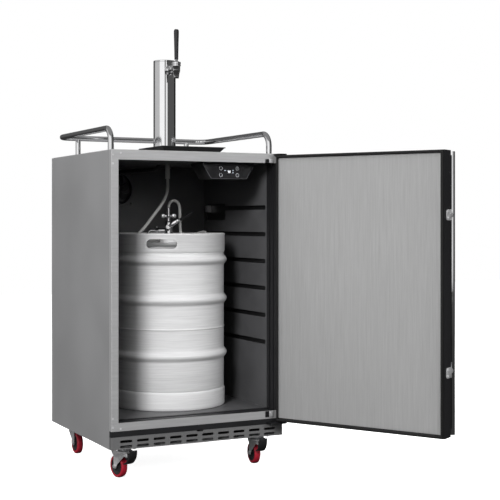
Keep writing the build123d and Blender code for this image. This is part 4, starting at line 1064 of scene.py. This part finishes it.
def add_door_panel():
    """The inner panel, slightly dished, with a rounded folded edge."""
    cx, cz = (PANEL["left"] + PANEL["right"]) / 2, (PANEL["bottom"] + PANEL["top"]) / 2
    width, height = PANEL["right"] - PANEL["left"], PANEL["top"] - PANEL["bottom"]
    rings = []
    for inset, y, radius in ((0.0, 1.15, 3.0), (0.0, 0.4, 3.0), (0.4, 0.0, 3.0), (6.0, 0.0, 3.0),
                             (9.0, 0.35, 4.0)):
        outline = rounded_outline(width - 2 * inset, height - 2 * inset, radius, 5)
        rings.append([(cx + a, DOOR["inner"] - y, cz + b) for a, b in outline])
    panel = add("door_liner_panel", moved(loft(rings), door_turn()), "door_steel", "door", angle=20)
    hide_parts("door_inner_panel")


def add_gasket():
    """Magnetic gasket: a soft ring with a bellows step, mitred at its corners."""
    section = [(0.3, 0.0), (0.3, 3.0), (1.6, 4.2), (0.6, 5.6), (0.4, 9.2), (1.4, 10.35), (7.6, 10.35),
               (8.8, 9.2), (8.6, 5.6), (7.4, 4.2), (9.0, 3.0), (9.6, 0.0)]
    rings = []
    for offset, lift in section:
        sides = {"left": DOOR["left"] + 1 + offset, "right": DOOR["right"] - 1 - offset * 0.33,
                 "bottom": DOOR["bottom"] + 1 + offset, "top": DOOR["top"] - 1 - offset * 0.85}
        y = DOOR["inner"] + lift
        rings.append([(sides["left"], y, sides["bottom"]), (sides["right"], y, sides["bottom"]),
                      (sides["right"], y, sides["top"]), (sides["left"], y, sides["top"])])
    verts = [Vector(p) * MM for ring in rings for p in ring]
    faces = []
    for level in range(len(rings)):
        after = (level + 1) % len(rings)
        for k in range(4):
            n = (k + 1) % 4
            faces.append((level * 4 + k, level * 4 + n, after * 4 + n, after * 4 + k))
    gasket = add("door_seal", moved((verts, faces), door_turn()), "gasket_rubber", "door", angle=50)
    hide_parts("door_gasket")


def add_handle():
    tube = [(0, 155.6), (7.4, 155.6), (8, 155.2), (9.2, 155.3), (9.5, 156.2), (9.5, 1043.8), (9.2, 1044.7),
            (8, 1044.8), (7.4, 1044.4), (0, 1044.4)]
    handle = add("door_pull_tube", moved(lathe_data(tube, (HANDLE_X, HANDLE_Y, 0), segments=48),
                                         door_turn()), "chrome", "door", angle=35)
    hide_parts("door_handle")
    datas, heads = [], []
    for z in BRACKET_HEIGHTS:
        low, high, back = DOOR["outer"] - 2.2, DOOR["outer"] - 0.05, DOOR["inner"] - 12
        outline = [(low, z - 16.5), (back - 5, z - 16.5), (back, z - 11.5), (back, z + 11.5),
                   (back - 5, z + 16.5), (low, z + 16.5)]
        datas.append(prism_data(outline, 2.1, (DOOR["left"] - 2.2, 0, 0), (0, 1, 0), (0, 0, 1)))
        datas.append(box_data((DOOR["left"] - 2.2, low, z - 16.5), (HANDLE_X + 8, high, z + 16.5)))
        post = [(0, 0), (8.5, 0), (8.5, HANDLE_POST - 1.5), (7.6, HANDLE_POST), (0, HANDLE_POST)]
        datas.append(lathe_data(post, (HANDLE_X, low + 0.1, z), (0, -1, 0), 32))
        for dz in BRACKET_SCREWS:
            heads.append(lathe_data([(0, 0), (4.2, 0), (4.2, 0.8), (3.2, 1.9), (0, 2.2)],
                                    (DOOR["left"] - 2.25, DOOR["inner"] - 22, z + dz), (-1, 0, 0), 24))
    bracket = add("handle_bracket_plates", moved(merged(*datas), door_turn()), "zinc", "door", bevel=0.5)
    screws = add("handle_bracket_screws", moved(merged(*heads), door_turn()), "zinc", "door", angle=40)
    bars_across, bars_upright = [], []
    for z in BRACKET_HEIGHTS:
        for dz in BRACKET_SCREWS:
            x0, x1 = DOOR["left"] - 5.4, DOOR["left"] - 3.6
            y0 = DOOR["inner"] - 22
            bars_across.append(box_data((x0, y0 - 2.2, z + dz - 0.4), (x1, y0 + 2.2, z + dz + 0.4)))
            bars_upright.append(box_data((x0, y0 - 0.4, z + dz - 2.2), (x1, y0 + 0.4, z + dz + 2.2)))
    cut(screws, [moved(merged(*bars_across), door_turn()), moved(merged(*bars_upright), door_turn())])
    shade_by_angle(screws, 40)
    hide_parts("handle_brackets")


# ================================================================ fan, air tube, sleeve and clip
FAN_X, FAN_Z, FAN_SIZE = -83.0, 941.0, 120.0
FAN_BACK = 257.4
FAN_FRONT = 232.5


def add_fan():
    """Square fan frame with a flared round opening, corner screw holes, motor spokes and curved blades."""
    outline = rounded_outline(FAN_SIZE, FAN_SIZE, 6, 5)
    shift = [(FAN_X - a, FAN_Z + b) for a, b in outline]
    plate = prism_data([(-a, b) for a, b in shift], FAN_BACK - FAN_FRONT, (0, FAN_FRONT, 0), (-1, 0, 0),
                       (0, 0, 1))
    shell = add("fan_housing", plate, "liner_grey", "cabinet", bevel=0.8)
    bore = [(0, -2), (58.4, -2), (58.4, 0), (57.0, 2.5), (57.0, 22), (58.4, 25), (58.4, 27), (0, 27)]
    cut(shell, [lathe_data(bore, (FAN_X, FAN_FRONT, FAN_Z), (0, 1, 0), 72)])
    holes = []
    for dx in (-52.5, 52.5):
        for dz in (-52.5, 52.5):
            holes.append(lathe_data([(0, -2), (4.2, -2), (4.2, 3), (2.2, 3.6), (2.2, 27), (0, 27)],
                                    (FAN_X + dx, FAN_FRONT, FAN_Z + dz), (0, 1, 0), 20))
    cut(shell, holes)
    shade_by_angle(shell, 35)
    ring = closed_lathe_data([(57.1, 0.4), (57.1, 6), (54.6, 6), (54.6, 2.0), (55.6, 0.4)],
                             (FAN_X, FAN_FRONT, FAN_Z), (0, 1, 0), 72)
    motor = lathe_data(rod(19, 19.6, 24.6), (FAN_X, FAN_FRONT, FAN_Z), (0, 1, 0), 48)
    spokes = []
    for degrees in (30, 150, 270):
        angle = math.radians(degrees)
        direction = Vector((math.cos(angle), 0, math.sin(angle)))
        start = Vector((FAN_X, FAN_BACK - 2.6, FAN_Z)) + direction * 17
        end = Vector((FAN_X, FAN_BACK - 2.6, FAN_Z)) + direction * 57.2
        spokes.append(tube_mesh([start * MM, end * MM], 0.002, 12))
    add("fan_ring_and_motor", merged(ring, motor, *spokes), "black_plastic", "cabinet", angle=40)
    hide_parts("fan_frame")

    hub = lathe_data([(2.1, 18.6), (18, 18.6), (18, 6), (17, 4.6), (14, 4.1), (2.1, 4.1)],
                     (FAN_X, FAN_FRONT, FAN_Z), (0, 1, 0), 48)
    blades = []
    count, steps = 7, 8
    for index in range(count):
        verts, faces = [], []
        for i in range(steps + 1):
            t = i / steps
            radius = 17.0 + 36.5 * t
            sweep = 0.45 * t * t
            chord = math.radians(40 - 12 * t)
            pitch = 11.0 - 4.5 * t
            for side, u in ((0, -0.5), (0, 0.5), (1, 0.5), (1, -0.5)):
                angle = TAU * index / count + sweep + chord * u
                y = 11.3 - pitch * u + (0.7 if side else -0.7)
                verts.append(Vector((FAN_X + radius * math.cos(angle), FAN_FRONT + y,
                                     FAN_Z + radius * math.sin(angle))) * MM)
        for i in range(steps):
            for k in range(4):
                n = (k + 1) % 4
                faces.append((4 * i + k, 4 * i + n, 4 * i + 4 + n, 4 * i + 4 + k))
        faces.append((0, 1, 2, 3))
        faces.append((4 * steps + 3, 4 * steps + 2, 4 * steps + 1, 4 * steps))
        blades.append((verts, faces))
    rotor = add("fan_rotor", merged(hub, *blades), "black_plastic", "evaporator_fan", angle=45)
    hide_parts("evaporator_fan")


def add_air_tube():
    """Corrugated tube that brings cold air up into the tower."""
    points = [(-131, 230.9, 989), (-130, 196, 994), (-92, 112, 1002), (-40, 40, 1003), (-14, -2, 1008),
              (-12, -8, 1046)]
    guide = curve_points([tuple(v * MM for v in p) for p in points])
    pitch = 3.2 * MM
    count = int(path_length(guide) / pitch) * 4
    path = resample(guide, count)
    profile = [(6.2 + 0.75 * (0.5 + 0.5 * math.cos(TAU * i / 4))) * MM for i in range(len(path))]
    tube = add("tower_air_hose", tube_mesh(path, 0, 20, profile), "black_plastic", "cabinet", angle=60)
    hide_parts("tower_air_tube")


def resample(guide, count):
    """Evenly spaced points along a dense line."""
    lengths = [0.0]
    for a, b in zip(guide, guide[1:]):
        lengths.append(lengths[-1] + (b - a).length)
    path = []
    index = 0
    for i in range(count + 1):
        target = lengths[-1] * i / count
        while index < len(lengths) - 2 and lengths[index + 1] < target:
            index += 1
        gap = lengths[index + 1] - lengths[index]
        t = (target - lengths[index]) / gap if gap > 0 else 0.0
        path.append(guide[index].lerp(guide[index + 1], min(1.0, max(0.0, t))))
    return path


# ================================================================ control unit
PANEL_X = 123.5
UNIT_FRONT, UNIT_BACK = -266.0, -171.0
UNIT_BOTTOM, UNIT_TOP = 966.0, 1019.8
BUTTON_X, BUTTON_Z = 30.5, (1000.8, 978.5)


def unit_outline(inset):
    top, low = 94.5 - inset, 65.5 - inset
    return [(PANEL_X - low, UNIT_BOTTOM + inset), (PANEL_X + low, UNIT_BOTTOM + inset),
            (PANEL_X + top, 1012 - inset * 0.4), (PANEL_X + top, UNIT_TOP - inset),
            (PANEL_X - top, UNIT_TOP - inset), (PANEL_X - top, 1012 - inset * 0.4)]


def digit_data(digit, x, z, width, height, y):
    """A seven-segment digit made of small raised bars."""
    on = {0: "abcdef", 3: "abcdg", 4: "bcfg", 8: "abcdefg", 6: "acdefg"}[digit]
    t = width * 0.22
    half = height / 2
    places = {"a": (0, half, 1), "b": (width / 2, half / 2, 0), "c": (width / 2, -half / 2, 0),
              "d": (0, -half, 1), "e": (-width / 2, -half / 2, 0), "f": (-width / 2, half / 2, 0),
              "g": (0, 0, 1)}
    datas = []
    for key in on:
        dx, dz, flat = places[key]
        length = (width if flat else half) - t * 0.7
        size_x, size_z = (length, t) if flat else (t, length)
        datas.append(box_data((x + dx - size_x / 2, y - 0.12, z + dz - size_z / 2),
                              (x + dx + size_x / 2, y, z + dz + size_z / 2)))
    return merged(*datas)


def glow(name, color, strength):
    g = Graph(name, color, 0.0, 0.4, Emission_Strength=strength)
    g.shader.inputs["Emission Color"].default_value = (*color, 1.0)
    return g.mat


def add_control_unit():
    housing = prism_data(unit_outline(0), UNIT_BACK - UNIT_FRONT, (0, UNIT_BACK, 0))
    shell = add("control_unit_shell", housing, "black_plastic", "cabinet", bevel=1.0)
    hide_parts("control_housing")
    face_y = UNIT_FRONT - 2.9

    def plate(name, inset, front, back, slot, material=None, bevel=0.4):
        data = prism_data(unit_outline(inset), back - front, (0, back, 0))
        return add(name, data, slot, "cabinet", bevel=bevel, material=material)

    rim = plate("control_unit_rim", 0.3, face_y + 0.4, UNIT_FRONT - 0.1, "aluminium", MATERIALS["rim_grey"])
    front = plate("control_unit_face", 1.1, face_y, UNIT_FRONT - 0.4, "gloss_black")
    holes = []
    for dx in (-BUTTON_X, BUTTON_X):
        for z in BUTTON_Z:
            holes.append(lathe_data(rod(7.35, -6, 6), (PANEL_X + dx, UNIT_FRONT, z), (0, 1, 0), 40))
    cut(front, holes)
    cut(rim, holes)
    shade_by_angle(front, 35)
    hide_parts("control_panel")

    window = prism_data([(PANEL_X + a, 989.6 + b) for a, b in rounded_outline(15.6, 17.6, 1.0, 3)], 0.5,
                        (0, face_y + 0.4, 0))
    pane = add("display_pane", window, "display", "cabinet", bevel=0.15)
    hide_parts("display_and_lamps")
    lit = glow("display_digit_light", (0.95, 0.97, 1.0), 1.6)
    digits = merged(digit_data(3, PANEL_X - 3.2, 989.8, 3.4, 7.4, face_y - 0.12),
                    digit_data(8, PANEL_X + 3.2, 989.8, 3.4, 7.4, face_y - 0.12))
    add("display_digits", digits, "display", "cabinet", material=lit)
    lamps = []
    for x, z in ((PANEL_X - 14.5, 994.0), (PANEL_X + 15.0, 994.0), (PANEL_X + 15.0, 986.5)):
        lamps.append(lathe_data([(0, 0.2), (1.3, 0.2), (1.3, 0), (0.9, -0.35), (0, -0.45)], (x, face_y, z),
                                (0, 1, 0), 20))
    add("indicator_lamp_domes", merged(*lamps), "display", "cabinet",
        material=glow("lamp_light", (0.75, 0.85, 1.0), 0.9))

    places = [(PANEL_X + dx, z) for z in BUTTON_Z for dx in (-BUTTON_X, BUTTON_X)]
    for index, (x, z) in enumerate(places, start=1):
        cap = [(0, -4.6), (4.6, -4.55), (5.8, -4.4), (6.6, -3.8), (7.0, -3.0), (7.0, 3), (8.2, 3), (8.2, 4),
               (0, 4)]
        button = add(f"button_{index}_cap", lathe_data(cap, (x, UNIT_FRONT, z), (0, 1, 0), 40),
                     "black_plastic", f"button_{index}", angle=40)
        mark = closed_lathe_data([(5.2, -4.56), (5.9, -4.5), (5.9, -4.3), (5.2, -4.3)], (x, UNIT_FRONT, z),
                                 (0, 1, 0), 36)
        stem = box_data((x - 0.4, UNIT_FRONT - 4.72, z), (x + 0.4, UNIT_FRONT - 4.5, z + 3.6))
        add(f"button_{index}_mark", merged(mark, stem) if index == 2 else mark, "display",
            f"button_{index}", material=MATERIALS["mark_white"])
        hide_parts(f"button_{index}")


# ================================================================ screws, hinges and sleeve
def screw_head(origin, axis, radius, rise):
    """Low domed head on its seat."""
    return lathe_data([(0, 0), (radius, 0), (radius, rise * 0.35), (radius * 0.8, rise * 0.85), (0, rise)],
                      origin, axis, 24)


def add_screws():
    spots = [(-300.0, 1035.3), (-300.0, 1006.8), (-274.0, 1041.0), (-300.0, 204.7), (-300.0, 177.1),
             (-274.0, 171.4)]
    heads = [screw_head((x, FRONT_Y - 0.02, z), (0, -1, 0), 3.6, 0.4) for x, z in spots]
    for dx in (-36, -20):
        heads.append(screw_head((HINGE_X + dx, HINGE_Y + 4, 148.9), (0, 0, -1), 4.0, 3.2))
    for z_low, z_high in ((170.0, 189.5), (1020.5, 1033.0)):
        cover = box_data((254.0, FRONT_Y - 2.5, z_low), (269.0, FRONT_Y - 0.05, z_high))
        add(f"hinge_cover_{z_low:.0f}", cover, "zinc", "cabinet", bevel=0.5)
    obj = add("cabinet_screw_heads", merged(*heads), "zinc", "cabinet", angle=45)
    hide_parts("frame_screws")


def add_sleeve():
    """Grey sleeve under the ceiling and the beer line inside the tower."""
    x, y = 11.0, -12.0
    sleeve = closed_lathe_data([(5.4, 972.2), (8.0, 972), (8.5, 972.8), (8.5, 1081), (5.4, 1082)],
                               (x, y, 0), segments=40)
    tube = add("line_sleeve", sleeve, "tube_pale", "cabinet", angle=40)
    inner = [(x, y, 972), (x, y, 1040), (x, y, 1120), (x, y, 1180), (9, -14, 1225), (2, -19, 1262),
             (0, -20, 1300), (0, -20, 1324)]
    path = curve_points([tuple(v * MM for v in p) for p in inner])
    add("tower_inner_line", tube_mesh(path, 0.00525, 16), "tube_pale", "cabinet", angle=60)
    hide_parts("tower_beer_line")


add_tower()
add_tap()
add_drip_tray()
add_rail()
add_keg()
add_coupler()
for place_name, place in CASTERS.items():
    add_caster(place_name, *place)
add_caster_mounts()
add_door_panel()
add_gasket()
add_handle()
add_fan()
add_air_tube()
add_control_unit()
add_screws()
add_sleeve()
